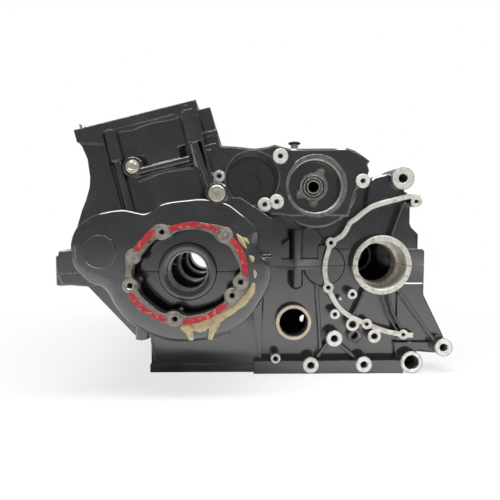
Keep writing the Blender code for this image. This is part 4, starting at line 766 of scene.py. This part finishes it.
lining = bare_material("bearing_lining", (0.60, 0.59, 0.56, 1.0), (0.38, 0.36, 0.33, 1.0), 0.3, 0.75,
                       pitch=3400.0, depth=1e-5)
bore_in, bore_out = SHELL_RADII
for number in range(3):
    y0 = FIRST_WEB + WEB_PITCH * number + SHELL_INSET
    y1 = y0 + SHELL_WIDTH
    groove = (y0 + y1) / 2
    section = [
        (bore_out - 0.05, y0 + 0.4), (bore_out - 0.4, y0), (bore_in + 0.4, y0), (bore_in, y0 + 0.4),
        (bore_in, groove - 1.9), (bore_in + 0.8, groove - 1.5), (bore_in + 0.8, groove + 1.5),
        (bore_in, groove + 1.9), (bore_in, y1 - 0.4), (bore_in + 0.4, y1), (bore_out - 0.4, y1),
        (bore_out - 0.05, y1 - 0.4),
    ]
    for side, start in (("upper", 0.0), ("lower", 180.0)):
        build(f"{side}_half_shell_{number + 1}", [(half_ring(section, start), False, 0)], [lining],
              "bearing_shell", replaces=(f"main_bearing_shell_{side}_{number + 1}",), sharp=50.0)
rim = [(-145.0, 33.0), (-146.55, 32.2), (-146.7, 31.6), (-146.7, 24.9), (-146.3, 24.0), (-142.0, 23.45),
       (-141.6, 23.45), (-141.6, 25.0)]
turned_piece("first_bearing_rim", rim, (0, 0, 0), [plain_paint], "black_casting", steps=120)

# Side of the cylinder block. Cast with the upper casting, as a smooth skin over the jacket. The barrel,
# a stud column at each end, the rib from the jacket plug and the lower wall all run into each other.

BLOCK_LOW, BLOCK_HIGH = 64.0, 175.0
BLOCK_FRONT, BLOCK_REAR = -57.2, 55.2
BLOCK_BASE = -120.0
BLOCK_BACK = -127.5
BARREL_RADIUS, BARREL_SUNK = 51.6, 33.0
FRONT_COLUMN, REAR_COLUMN = (-46.8, 9.35), (43.5, 10.55)
COLUMN_STANDS = 14


def soft_highest(heights, blend=0.9):
    """Smooth maximum of several height fields: the logarithm of the sum of their exponentials."""
    stack = np.stack(np.broadcast_arrays(*heights)) / blend
    top = stack.max(axis=0)
    return blend * (top + np.log(np.exp(stack - top).sum(axis=0)))


def step_up(value, start, end):
    """0 before the start, 1 after the end, and a smooth S between them."""
    u = np.clip((value - start) / (end - start), 0, 1)
    return u * u * (3 - 2 * u)


def round_column(s, t, column, start, end):
    """Height of a round stud column, (place along the deck, radius), that fades in between two heights."""
    place, radius = column
    half_round = np.sqrt(np.clip(radius**2 - (s - place) ** 2, 0.01, None))
    return COLUMN_STANDS + half_round - 22 * step_up(-t, -end, -start)


def block_height(s, t):
    """Height of the block's side over BLOCK_BASE, s along the deck and t along the cylinders.

    The smooth maximum of ten forms: a cylinder's barrel, walls that fall off with the 4th power of the
    distance from their middle, half round columns, ribs, folds and the ledge below the deck.
    """
    barrel = np.sqrt(np.clip(BARREL_RADIUS**2 - s**2, 1.0, None)) - BARREL_SUNK
    lower = 16.6 - 0.0035 * (s + 2) ** 2 * step_up(np.abs(s + 2), 30, 60) - 20 * step_up(t, 119, 127)
    soft_rib = barrel + 1.8 * np.exp(-(((s - 23) / 3.6) ** 2)) * step_up(t, 112, 122)
    front_wall = 21.9 * (1 - np.abs((s + 46.2) / 8.0) ** 4) - 22 * step_up(t, 138, 144)
    front_column = round_column(s, t, FRONT_COLUMN, 136, 140)
    lean = 48.5 - (t - 70) * 5 / 70
    rear_wall = 23.6 * (1 - np.abs((s - lean) / 6.9) ** 4) - 22 * step_up(t, 138, 144)
    rear_column = round_column(s, t, REAR_COLUMN, 135, 139)
    across = step_up(s, -34, -27) * step_up(-s, -42, -33)
    rib = 25.0 * across * (1 - np.abs((t - 122.0) / 5.4) ** 6)
    lower_fold = 18.6 * across * (1 - np.abs((t - 115.5 + 0.0022 * (s - 4) ** 2) / 4.0) ** 2)
    roof = 22.6 * step_up(t, 163 + 0.004 * (s + 2) ** 2, 174)
    heights = [barrel, lower, soft_rib, front_wall, front_column, rear_wall, rear_column, rib, lower_fold,
               roof]
    return soft_highest([np.clip(height, 0.0, None) for height in heights])


def block_skin(columns=180, rows=200):
    """Grid whose rows climb the cylinders: each runs over the side and returns behind it, inside the wall."""
    s = np.linspace(BLOCK_FRONT, BLOCK_REAR, columns)
    t = np.linspace(BLOCK_LOW, BLOCK_HIGH, rows)[:, None]
    ends = step_up(s, BLOCK_FRONT, -56.0) * step_up(-s, -BLOCK_REAR, -54.2)
    front = np.minimum(BLOCK_BASE - block_height(s, t) * ends, BLOCK_BACK - 0.2)
    both_s = np.concatenate([s, s[::-1]])
    depth = np.concatenate([front, np.full_like(front, BLOCK_BACK)], axis=1)
    x, z = tilted(both_s, t)
    return np.stack([x, depth, z], axis=-1)


build("block_side_skin", [(block_skin(), False, 0)], [plain_paint], "black_casting", sharp=80.0)

# Cylinder liners, three thin iron sleeves pressed into the block up to its deck, their bores honed in a
# crosshatch. Two steel dowels stand in the deck and place the cylinder head.

LINER_FOOT = 78.0
FIRST_BORE = -87.0
LINER_RADII = (39.5, 42.0)
PIN_DEPTH = 7.5
DECK_DOWEL_PLACES = ((-75.0, -135.0), (-75.0, 128.0))


def honed_material():
    """Grey iron with two families of fine scratches that cross on the bore's UV."""
    material, tree, shader = new_material("honed_iron")
    chart = add(tree, "ShaderNodeTexCoord").outputs["UV"]
    parts = add(tree, "ShaderNodeSeparateXYZ", {"Vector": chart}).outputs
    heights = []
    for side in (0.13, -0.13):
        across = figure(tree, "MULTIPLY_ADD", parts["X"], side, parts["Y"])
        place = add(tree, "ShaderNodeCombineXYZ", {"X": figure(tree, "MULTIPLY", across, 2400.0),
                                                   "Y": figure(tree, "MULTIPLY", parts["X"], 9.0)})
        settings = {"Vector": place.outputs["Vector"], "Scale": 1.0, "Detail": 2.0}
        heights.append(add(tree, "ShaderNodeTexNoise", settings).outputs["Fac"])
    scratches = figure(tree, "ADD", heights[0], heights[1])
    tone = figure(tree, "MULTIPLY_ADD", scratches, 0.5, 0.0)
    tree.links.new(blended(tree, tone, (0.62, 0.61, 0.59, 1.0), (0.30, 0.29, 0.28, 1.0)),
                   shader.inputs["Base Color"])
    shader.inputs["Metallic"].default_value = 0.85
    shader.inputs["Roughness"].default_value = 0.32
    emboss(tree, shader, figure(tree, "MULTIPLY", scratches, 1.5e-5), 0.6)
    return material


honed_iron = honed_material()
inner, outer = LINER_RADII
reach = DECK_HEIGHT - LINER_FOOT
for number in range(3):
    sleeve_rows = [(0.5, outer - 0.03), (reach - 0.4, outer - 0.03), (reach - 0.02, outer - 0.4),
                   (reach - 0.02, inner + 0.4), (reach - 0.5, inner + 0.02), (0.6, inner + 0.02),
                   (0.02, inner + 0.7), (0.02, outer - 0.5)]
    foot_x, foot_z = tilted(0.0, LINER_FOOT)
    turned_piece(f"honed_liner_{number + 1}", sleeve_rows, (foot_x, FIRST_BORE + WEB_PITCH * number, foot_z),
                 [honed_iron], "honed_iron", LEAN_AXIS, 144, replaces=(f"cylinder_liner_{number + 1}",),
                 sharp=50.0)
for number, (dowel_s, dowel_y) in enumerate(DECK_DOWEL_PLACES, 1):
    foot_x, foot_z = tilted(dowel_s, DECK_HEIGHT - PIN_DEPTH)
    pin_rows = [(0.02, 2.0), (0.02, 2.78), (13.0, 2.78), (13.7, 2.3), (13.98, 1.6)]
    turned_piece(f"head_dowel_{number}", pin_rows, (foot_x, dowel_y, foot_z), [bright_steel], "bright_steel",
                 LEAN_AXIS, ring=False, replaces=(f"deck_dowel_{number}",))

# Two plugs close drillings: a round head with a hexagon socket on the oil gallery, and a flanged hexagon head
# on the water jacket. Both are yellow zinc plated steel on soft washers, screwed into black bosses.

WASHER_THICKNESS = 1.2
GALLERY_PLUG = (35.0, 87.0)
JACKET_PLUG = tilted(-30.0, 128.5)
yellow_zinc = bare_material("yellow_zinc", (0.66, 0.64, 0.53, 1.0), (0.47, 0.44, 0.33, 1.0), 0.28, 0.75)
soft_washer = bare_material("soft_washer", (0.58, 0.56, 0.50, 1.0), (0.40, 0.37, 0.31, 1.0), 0.4, 0.6)
for plug, (x, z), face, washer_radius, head_rows, shank, depth, boss_radius in (
    ("gallery_plug", GALLERY_PLUG, BULGE_FACE + 1.0, 9.0,
     [(-0.4, 0.6), (-0.4, 4.0, HEXAGON), (-2.5, 4.4, HEXAGON), (-2.5, 6.0), (-2.1, 6.3), (-2.1, 6.9),
      (-2.85, 7.3), (-2.85, 7.7), (-2.3, 8.25), (-0.1, 8.25)], 6.9, 12.0, 12.2),
    ("jacket_plug", JACKET_PLUG, BLOCK_FACE - 1.0, 7.6,
     [(-3.6, 0.6), (-3.6, 3.4), (-3.95, 3.8), (-3.95, 4.5), (-3.3, 5.5, HEXAGON), (-1.3, 5.5, HEXAGON),
      (-1.1, 6.2), (-0.8, 6.55), (-0.1, 6.55)], 4.0, 6.0, 11.5),
):
    build(f"{plug}_boss", sleeve(x, z, boss_radius, face, 0.0, back=6.0, chamfer=1.4),
          [plain_paint, plain_paint], "black_casting")
    front = face - SEAT_GAP - WASHER_THICKNESS
    ring = [(0.25, washer_radius), (0.95, washer_radius), (WASHER_THICKNESS, washer_radius - 0.3),
            (WASHER_THICKNESS, shank + 0.5), (0.0, shank + 0.5), (0.0, washer_radius - 0.3)]
    turned_piece(f"{plug}_seal", ring, (x, front, z), [soft_washer], "soft_washer",
                 replaces=(f"{plug}_washer",))
    thread = [(d, shank - 0.3, THREAD) for d in np.linspace(0.6, depth - 0.6, 40)]
    turned_piece(f"plated_{plug}", [*head_rows, (0.0, shank), *thread, (depth, shank - 1.2)],
                 (x, front - SEAT_GAP, z), [yellow_zinc], "yellow_zinc", steps=72, ring=False,
                 replaces=(plug,))

# The round pocket of the gearbox and the shallow recess in front of it. Its rim is a machined ring with a
# bright bored wall, the floor inside is black, and the recess is an as-cast dish with a fine edge line. The
# grey on the rim's face is worn machined metal and also a painted highlight of its edge; the recess's edge
# line is a painted highlight.

POCKET_FACE = -108.0
POCKET_FLOOR = -84.0
# Grey for the pocket rim's face and the recess lip: worn metal on the rim, and a painted highlight on both
# edges.
worn_rim_and_highlight = bare_material("worn_rim_and_painted_highlight", (0.20, 0.195, 0.185, 1.0), (0.055, 0.053, 0.05, 1.0), 0.34, 0.3)
bored_wall = bare_material("bored_pocket_wall", (0.70, 0.68, 0.63, 1.0), (0.42, 0.39, 0.34, 1.0), 0.34, 0.5)
rim = [(8.0, 37.65), (0.8, 37.65), (-0.15, 36.9), (-0.15, 33.4), (0.6, 32.55), (12.0, 32.55), (12.5, 31.8),
       (23.7, 31.6), (23.9, 33.5)]
turned_piece("pocket_rim", rim, (POCKET[0], POCKET_FACE, POCKET[1]), [plain_paint, worn_rim_and_highlight, bored_wall],
             "black_casting", steps=144, stuff=[SIDE] * 2 + [END] * 2 + [HOLE] * 2 + [SIDE] * 3)
RECESS = (74.0, 107.9)
lip = [(6.0, 33.4), (0.4, 33.4), (-0.14, 33.0), (-0.14, 32.4), (0.5, 32.0), (6.0, 31.9)]
turned_piece("recess_lip", lip, (RECESS[0], POCKET_FACE + 2.0, RECESS[1]), [worn_rim_and_highlight], "black_casting",
             steps=144)

# Small ball bearing in the pocket's floor, with the steel plate and three screws that hold it. The inner race
# turns, and the cage with its nine balls turns between the races. Ground steel, with a dark oily plate.

BEARING_FRONT = -83.7
BALL_CIRCLE = 11.3
BALL = 1.9
BALLS = 9
BALL_DEPTH = 3.8
RETAINER_LOBES = (65.6, 208.0, 268.0)
PLATE_RADIUS, LOBE_REACH, LOBE_SPREAD = 17.6, 8.3, 15
PLATE_THICKNESS = 2.4
SCREW_CIRCLE = 20.6
ground_steel = bare_material("ground_steel", (0.68, 0.68, 0.67, 1.0), (0.50, 0.49, 0.47, 1.0), 0.16, 0.95,
                             pitch=3800.0, depth=8e-6)
oily_plate = bare_material("oily_plate", (0.36, 0.35, 0.33, 1.0), (0.17, 0.16, 0.15, 1.0), 0.3, 0.35,
                           pitch=900.0, depth=3e-5)
brass_cage = bare_material("pressed_cage", (0.50, 0.48, 0.43, 1.0), (0.30, 0.28, 0.24, 1.0), 0.3, 0.85)
place = (POCKET[0], BEARING_FRONT, POCKET[1])
outer_race = [
    (0.6, 15.97), (0.02, 15.4), (0.02, 14.3), (0.5, 13.73), (2.4, 13.73), (3.2, 13.95), (4.4, 13.95),
    (5.2, 13.73), (9.5, 13.73), (9.98, 14.3), (9.98, 15.4), (9.4, 15.97),
]
inner_race = [
    (0.5, 8.87), (0.02, 8.4), (0.02, 7.1), (0.6, 6.53), (9.4, 6.53), (9.98, 7.1), (9.98, 8.4),
    (9.5, 8.87), (5.2, 8.87), (4.4, 8.65), (3.2, 8.65), (2.4, 8.87),
]
turned_piece("ground_outer_race", outer_race, place, [ground_steel], "bearing_steel", steps=120,
             replaces=("pocket_bearing_outer_race",))
turned_piece("ground_inner_race", inner_race, place, [ground_steel], "bearing_steel", steps=96,
             body="inner_race", replaces=("pocket_bearing_inner_race",))
ring = [
    (2.52, 12.3), (2.52, 10.3), (2.9, 10.25), (6.3, 10.25), (6.48, 10.3), (6.48, 12.3), (6.1, 12.38),
    (2.9, 12.38),
]
cage_parts = [(turned(ring, place, steps=96), True, 0)]
arcs = np.linspace(-math.pi / 2 + 0.06, math.pi / 2 - 0.06, 15)
ball = [(BALL * math.sin(a), BALL * math.cos(a)) for a in arcs]
for number in range(BALLS):
    angle = 2 * math.pi * number / BALLS
    middle = (POCKET[0] + BALL_CIRCLE * math.cos(angle), BEARING_FRONT + BALL_DEPTH,
              POCKET[1] + BALL_CIRCLE * math.sin(angle))
    cage_parts.append((turned(ball, middle, steps=24), False, 1))
build("cage_and_balls", cage_parts, [brass_cage, ground_steel], "bearing_steel", body="cage",
      replaces=("pocket_bearing_cage",))


PLATE_ANGLES = np.linspace(0, 2 * math.pi, 240, endpoint=False)


def hole_loop(radius, angle=PLATE_ANGLES):
    """Loop round the pocket's middle, its radius one value or one for each angle."""
    return np.stack([POCKET[0] + radius * np.cos(angle), POCKET[1] + radius * np.sin(angle)], axis=1)


def plate_loop(shrink):
    """Round loop that swells towards each screw: radius + reach·exp(-(angle off the lobe / spread)⁴)."""
    angle = np.linspace(0, 360, 240, endpoint=False)
    off = np.stack([(angle - lobe + 180) % 360 - 180 for lobe in RETAINER_LOBES])
    radius = PLATE_RADIUS + LOBE_REACH * np.exp(-((off / LOBE_SPREAD) ** 4)).max(axis=0) - shrink
    return hole_loop(radius, np.radians(angle))


back = POCKET_FLOOR - SEAT_GAP
front = back - PLATE_THICKNESS
plate_rows = [
    (plate_loop(0.05), back - 0.3), (plate_loop(0.05), front + 0.5), (plate_loop(0.5), front + 0.05),
    (hole_loop(15.0), front + 0.05), (hole_loop(14.55), front + 0.5), (hole_loop(14.55), back - 0.3),
    (hole_loop(15.0), back - 0.02), (plate_loop(0.5), back - 0.02),
]
build("bearing_plate", [(layered(plate_rows), True, 0)], [oily_plate], "grey_steel",
      replaces=("bearing_retainer_plate",))
for number, lobe in enumerate(RETAINER_LOBES, 1):
    x = POCKET[0] + SCREW_CIRCLE * math.cos(math.radians(lobe))
    z = POCKET[1] + SCREW_CIRCLE * math.sin(math.radians(lobe))
    screw = [(0.8, 0.4), (0.8, 1.5, HEXAGON), (-1.2, 1.9, HEXAGON), (-1.48, 2.3), (-1.48, 3.4), (-0.35, 4.5),
             (-0.35, 2.4), *((d, 2.15, THREAD) for d in np.linspace(0.2, 8.2, 40)), (8.95, 1.2)]
    turned_piece(f"countersunk_screw_{number}", screw, (x, front, z), [oily_plate], "grey_steel", steps=48,
                 ring=False, replaces=(f"retainer_screw_{number}",))

# Tapped bosses of the covers: five round the pocket and the recess, those along the thin rim at the rear, and
# those of the lower casting. Each is black on its side and spot faced bright round a tapped hole of darker
# metal.

POCKET_LUGS = [(107.1, 133.4, 9.0, -112.0), (205.4, 104.4, 8.4, -112.0), (102.9, 79.8, 8.6, -112.0),
               (88.6, 76.3, 8.2, -112.0), (35.0, 109.0, 6.8, -122.0)]
RIM_BOSSES = [(280.8, 80.8, 7.0, 2.8), (173.8, 29.0, 6.6, 2.9), (171.0, -28.0, 6.6, 2.9),
              (202.6, -75.5, 8.4, 5.2), (220.8, -75.0, 6.6, 2.8), (230.7, -91.0, 8.4, 4.6),
              (267.9, -88.9, 6.2, 2.7)]
LOWER_FACE = -84.0
LOWER_BOSSES = [(201.0, -36.2, 6.4, 2.7), (179.1, -61.7, 6.6, 2.7), (178.8, -93.0, 10.4, 4.9),
                (149.0, -127.5, 10.4, 4.9), (217.0, -126.9, 10.4, 4.8), (104.0, -118.5, 6.5, 3.2),
                (318.7, -105.0, 11.3, 5.5)]
rim_cream = bare_material("machined_rim", MACHINED, STAINED, 0.4, 0.3)
boss_parts = []
for x, z, radius, face in POCKET_LUGS:
    boss_parts += sleeve(x, z, radius, face, 2.9, back=6.0)
for x, z, radius, hole in LOWER_BOSSES:
    boss_parts += sleeve(x, z, radius, LOWER_FACE, hole, back=4.0, chamfer=0.9)
build("tapped_bosses", boss_parts, [plain_paint, fresh_face, tapped_hole], "black_casting")
boss_parts = []
for x, z, radius, hole in RIM_BOSSES:
    boss_parts += sleeve(x, z, radius, RIM_FACE, hole, back=3.0, chamfer=0.4, threaded=hole < 4)
build("rim_bosses", boss_parts, [plain_paint, rim_cream, tapped_hole], "black_casting")

# The two frame mountings at the rear, cast with the castings and faced bare: a boss on top with a plain bore,
# and below it a wide socket with a deep thread.

top_mounting = sleeve(262.8, 109.6, 14.0, -82.0, 6.3, deep=40.0, back=8.0, chamfer=1.0, threaded=False)
build("top_mounting", top_mounting, [plain_paint, rim_cream, tapped_hole], "black_casting")
rear_socket = sleeve(278.0, -124.0, 14.0, LOWER_FACE, 10.4, deep=26.0, back=6.0, chamfer=1.0)
build("rear_socket", rear_socket, [plain_paint, fresh_face, tapped_hole], "black_casting")

# The bored housings. The output shaft's ring is bored through both castings, so the joint shows as a fine
# line, and it is stepped for a bearing and its circlip. The oil filter's ring below has a bronze tinge.

LINE_TOLERANCE = 0.00028
rubbed_bronze = bare_material("bronzed_face", (0.72, 0.58, 0.40, 1.0), (0.80, 0.76, 0.68, 1.0), 0.4, 0.4)


def split_shade(name, colour, stain):
    """Machined metal with a dark line a few tenths of a millimetre high where the two castings meet."""
    material = bare_material(name, colour, stain, 0.34, 0.5)
    tree = material.node_tree
    shader = tree.nodes["Principled BSDF"]
    height = add(tree, "ShaderNodeSeparateXYZ", {"Vector": add(tree, "ShaderNodeTexCoord").outputs["Object"]})
    line = figure(tree, "COMPARE", height.outputs["Z"], CRANK[2] / 1000, LINE_TOLERANCE)
    metal = shader.inputs["Base Color"].links[0].from_socket
    tree.links.new(blended(tree, line, metal, (0.03, 0.03, 0.03, 1.0)), shader.inputs["Base Color"])
    return material


bored_ring = split_shade("bored_output_ring", (0.78, 0.75, 0.68, 1.0), (0.40, 0.37, 0.32, 1.0))
ring = [(14.0, 37.75), (0.9, 37.75), (-0.14, 36.8), (-0.14, 31.7), (0.8, 30.65), (6.0, 30.65), (6.1, 30.95),
        (7.9, 30.95), (8.0, 30.65), (29.85, 30.65), (29.85, 26.4), (30.4, 25.7), (49.8, 25.7), (50.0, 27.5),
        (31.5, 32.0), (14.5, 33.0)]
turned_piece("output_bearing_ring", ring, (OUTPUT[0], RIM_FACE, OUTPUT[1]),
             [plain_paint, bored_ring, bored_ring], "black_casting", steps=160,
             stuff=[SIDE] + [END] * 3 + [HOLE] * 8 + [SIDE] * 4)
ring = [(9.0, 22.85), (0.6, 22.85), (-0.14, 22.2), (-0.14, 18.9), (0.6, 18.0), (20.0, 18.0), (20.2, 20.0),
        (9.2, 21.0)]
turned_piece("filter_ring", ring, (127.3, -78.0, -73.3), [plain_paint, rubbed_bronze, tapped_hole],
             "black_casting", steps=120, stuff=[SIDE] + [END] * 3 + [HOLE] * 2 + [SIDE] * 2)

# A wire thread insert left in its hole, and a hardened pin that places the cover on the thin rim.

INSERT_LENGTH, INSERT_TURNS = 13.8, 9
insert = [(0.05 + INSERT_LENGTH * step, 6.15 + 0.45 * math.cos(2 * math.pi * step * INSERT_TURNS))
          for step in np.linspace(0, 1, 66)]
turned_piece("coiled_thread_insert", [*insert, (13.95, 6.7), (0.0, 6.7)], (207.6, -73.4, -92.6),
             [bright_steel], "bright_steel", steps=60, replaces=("thread_insert",))
pin = [(0.02, 1.0), (0.3, 1.9), (0.8, 2.57), (19.4, 2.57)]
turned_piece("hardened_pin", pin, (187.0, -77.0, -42.5), [bright_steel], "bright_steel", ring=False,
             replaces=("locating_pin",))

# Bolts that clamp the castings: eight through the bearing webs from below, four down the front flange and two
# at the rear. Hexagon heads with a washer face, zinc plated and dulled, and rolled threads.

zinc_steel = bare_material("dull_zinc", (0.34, 0.33, 0.30, 1.0), (0.15, 0.145, 0.13, 1.0), 0.38, 0.7,
                           pitch=900.0, depth=2e-5)
THREADED_LENGTH = 24.0
THREAD_ROWS = 3.4


def hexagon_bolt(name, base, axis, head, shank, length, node):
    """Bolt whose shank runs along the axis from its head's seat, with rolled threads on its end."""
    first_turn = max(0.4 * length, length - THREADED_LENGTH)
    thread = np.linspace(first_turn, length - 1.2, int(THREAD_ROWS * (length - first_turn)))
    rows = [
        (-4.7, 0.4 * head), (-4.98, 0.5 * head), (-4.98, 0.86 * head), (-4.3, head - 0.02, HEXAGON),
        (-0.6, head - 0.02, HEXAGON), (-0.5, 0.92 * head), (-0.02, 0.92 * head), (-0.02, shank - 0.05),
        (0.38 * length, shank - 0.05), *((d, shank - 0.35, THREAD) for d in thread),
        (length - 0.05, shank - 1.1),
    ]
    turned_piece(name, rows, base, [zinc_steel], "zinc_steel", axis, 48, ring=False, replaces=(node,))


UPWARD, DOWNWARD = (0, 0, 1), (0, 0, -1)
MAIN_BOLT_END = 38.0
main_bolts = [(-55.0, -131.0, -80.0, 5.6), (40.0, -131.0, -74.5, 5.6)]
main_bolts += [(x, y, -68.0, 7.5) for y in (-43.0, 45.0, 128.0) for x in (-36.0, 36.0)]
for number, (x, y, foot, head) in enumerate(main_bolts, 1):
    seat = foot + 5.7
    hexagon_bolt(f"web_bolt_{number}", (x, y, seat), UPWARD, head, 4.5, MAIN_BOLT_END - seat,
                 f"main_bolt_{number}")
for number, y in enumerate((-148.0, -56.0, 36.0, 128.0), 1):
    hexagon_bolt(f"front_flange_bolt_{number}", (-137.0, y, 18.3), DOWNWARD, 6.5, 3.5, 28.5,
                 f"front_joint_bolt_{number}")
for number, y in enumerate((-52.0, 60.0), 1):
    hexagon_bolt(f"rear_flange_bolt_{number}", (289.5, y, 6.3), DOWNWARD, 6.5, 3.5, 22.5,
                 f"rear_joint_bolt_{number}")

# The breather: a short bright tube pressed into the gearbox roof, closed by a dark moulded cap.

BREATHER = (134.0, -8.0)
TUBE_FOOT, CAP_FOOT = 138.5, 161.2
tube_metal = bare_material("breather_tube", (0.74, 0.74, 0.72, 1.0), (0.56, 0.55, 0.52, 1.0), 0.3, 0.6)
tube = [(0.05, 3.0), (0.05, 4.97), (24.2, 4.97), (24.95, 4.3), (24.95, 3.0)]
turned_piece("breather_tube", tube, (*BREATHER, TUBE_FOOT), [tube_metal], "stub_aluminium", UPWARD,
             ring=False, replaces=("breather_stub",))


def cap_material():
    """Moulded black cap: matt, with a dusty bloom in patches and a fine grain."""
    material, tree, shader = new_material("moulded_cap")
    bloom = from_group(tree, PATCHES, Scale=240.0, Low=0.4, High=0.8)
    grain = from_group(tree, CAST_SKIN, Peel_Scale=1500.0, Peel=6e-5, Wave=1e-5)
    tree.links.new(blended(tree, bloom, (0.012, 0.012, 0.013, 1.0), (0.05, 0.049, 0.047, 1.0)),
                   shader.inputs["Base Color"])
    shader.inputs["Roughness"].default_value = 0.55
    emboss(tree, shader, grain, 0.6)
    return material


cap = [(0.02, 5.32), (0.02, 7.4), (0.5, 8.0), (1.2, 8.57), (1.9, 8.5), (2.6, 7.78), (3.3, 6.0), (3.98, 3.0),
       (3.98, 0.9), (2.82, 0.9), (2.82, 5.32)]
turned_piece("moulded_breather_cap", cap, (*BREATHER, CAP_FOOT), [cap_material()], "cap_rubber", UPWARD, 72,
             replaces=("breather_cap",))

# The clutch side. Ten tapped bosses stand round the bare flange that carries the clutch cover. They are cast
# with the castings and faced with the flange. Everything else on this side is the castings' own shape.

CLUTCH_SCREWS = [(-62.0, 0.0), (-30.0, 55.5), (42.0, 74.0), (118.0, 88.0), (196.0, 78.0), (241.0, 0.0),
                 (196.0, -78.0), (118.0, -88.0), (42.0, -74.0), (-30.0, -55.5)]
boss_parts = []
for x, z in CLUTCH_SCREWS:
    boss_parts += sleeve(x, z, 7.5, CLUTCH_FACE - OVERSIZE, 3.1, back=16.0, axis=(0, -1, 0))
build("clutch_cover_bosses", boss_parts, [plain_paint, rim_cream, tapped_hole], "black_casting")

# The floor, the light and the camera. A plain pale floor that runs out into white, a broad soft lamp above,
# weaker ones on each side and behind, and the camera at the photograph's height and distance.


def floor_material():
    """Pale matt floor. Away from the part, what the camera sees of it turns to the white of the backdrop."""
    material, tree, shader = new_material("pale_floor")
    shader.inputs["Base Color"].default_value = (0.86, 0.85, 0.84, 1.0)
    shader.inputs["Roughness"].default_value = 0.6
    place = add(tree, "ShaderNodeTexCoord").outputs["Object"]
    away = vector_figure(tree, "LENGTH", place)
    fade = add(tree, "ShaderNodeMapRange", {"Value": away, "From Min": 0.26, "From Max": 0.60},
               interpolation_type="SMOOTHSTEP").outputs["Result"]
    seen = add(tree, "ShaderNodeLightPath").outputs["Is Camera Ray"]
    white = add(tree, "ShaderNodeEmission", {"Color": (1.0, 1.0, 1.0, 1.0), "Strength": 1.0})
    share = figure(tree, "MULTIPLY", figure(tree, "MULTIPLY_ADD", fade, 0.26, 0.74), seen)
    mix = add(tree, "ShaderNodeMixShader", {0: share, 1: shader.outputs[0], 2: white.outputs[0]})
    tree.links.new(mix.outputs[0], tree.nodes["Material Output"].inputs["Surface"])
    return material


def stage_floor(half=4.0):
    """Square floor on the level that the sump face stands on."""
    mesh = bpy.data.meshes.new("floor")
    corners = [(-half, -half, 0), (half, -half, 0), (half, half, 0), (-half, half, 0)]
    mesh.from_pydata(corners, [], [(0, 1, 2, 3)])
    mesh.materials.append(floor_material())
    floor = bpy.data.objects.new("floor", mesh)
    bpy.context.scene.collection.objects.link(floor)


def soft_lamp(name, place, target, wide, tall, watts, colour=(1.0, 1.0, 1.0)):
    """Rectangular area lamp that faces its target."""
    data = bpy.data.lights.new(name, "AREA")
    data.shape, data.size, data.size_y, data.energy, data.color = "RECTANGLE", wide, tall, watts, colour
    lamp = bpy.data.objects.new(name, data)
    lamp.location = place
    aim = np.array(target) - np.array(place)
    lamp.rotation_euler = (math.acos(-aim[2] / np.linalg.norm(aim)), 0, math.atan2(aim[0], -aim[1]))
    bpy.context.scene.collection.objects.link(lamp)


stage_floor()
soft_lamp("top_lamp", (0.05, -0.3, 1.3), (0.02, 0, 0.15), 1.8, 0.4, 30.0)
soft_lamp("left_lamp", (-1.05, -1.15, 0.55), (0, 0, 0.15), 0.13, 1.0, 9.0, (1.0, 0.98, 0.95))
soft_lamp("right_lamp", (0.75, -1.35, 0.72), (0, 0, 0.15), 0.4, 0.9, 14.0, (0.97, 0.98, 1.0))
soft_lamp("back_lamp", (0.2, 1.5, 1.1), (0, 0, 0.15), 1.0, 1.0, 6.0)

world = bpy.data.worlds.new("white_room")
bpy.context.scene.world = world
world.use_nodes = True
sky = world.node_tree
seen_sky = figure(sky, "MULTIPLY_ADD", add(sky, "ShaderNodeLightPath").outputs["Is Camera Ray"], 0.72, 0.28)
sky.links.new(seen_sky, sky.nodes["Background"].inputs["Strength"])
sky.nodes["Background"].inputs["Color"].default_value = (1.0, 1.0, 1.0, 1.0)

camera_data = bpy.data.cameras.new("camera")
camera_data.lens = 36.0
camera_data.sensor_width = 36.0
camera_data.sensor_fit = "HORIZONTAL"
camera_data.clip_start = 0.02
camera = bpy.data.objects.new("camera", camera_data)
camera.location = (-0.02924, -0.708, 0.20243)
camera.rotation_euler = (math.radians(86.0), 0.0, math.radians(-0.8))
bpy.context.scene.collection.objects.link(camera)
bpy.context.scene.camera = camera
bpy.context.scene.view_settings.view_transform = "Standard"
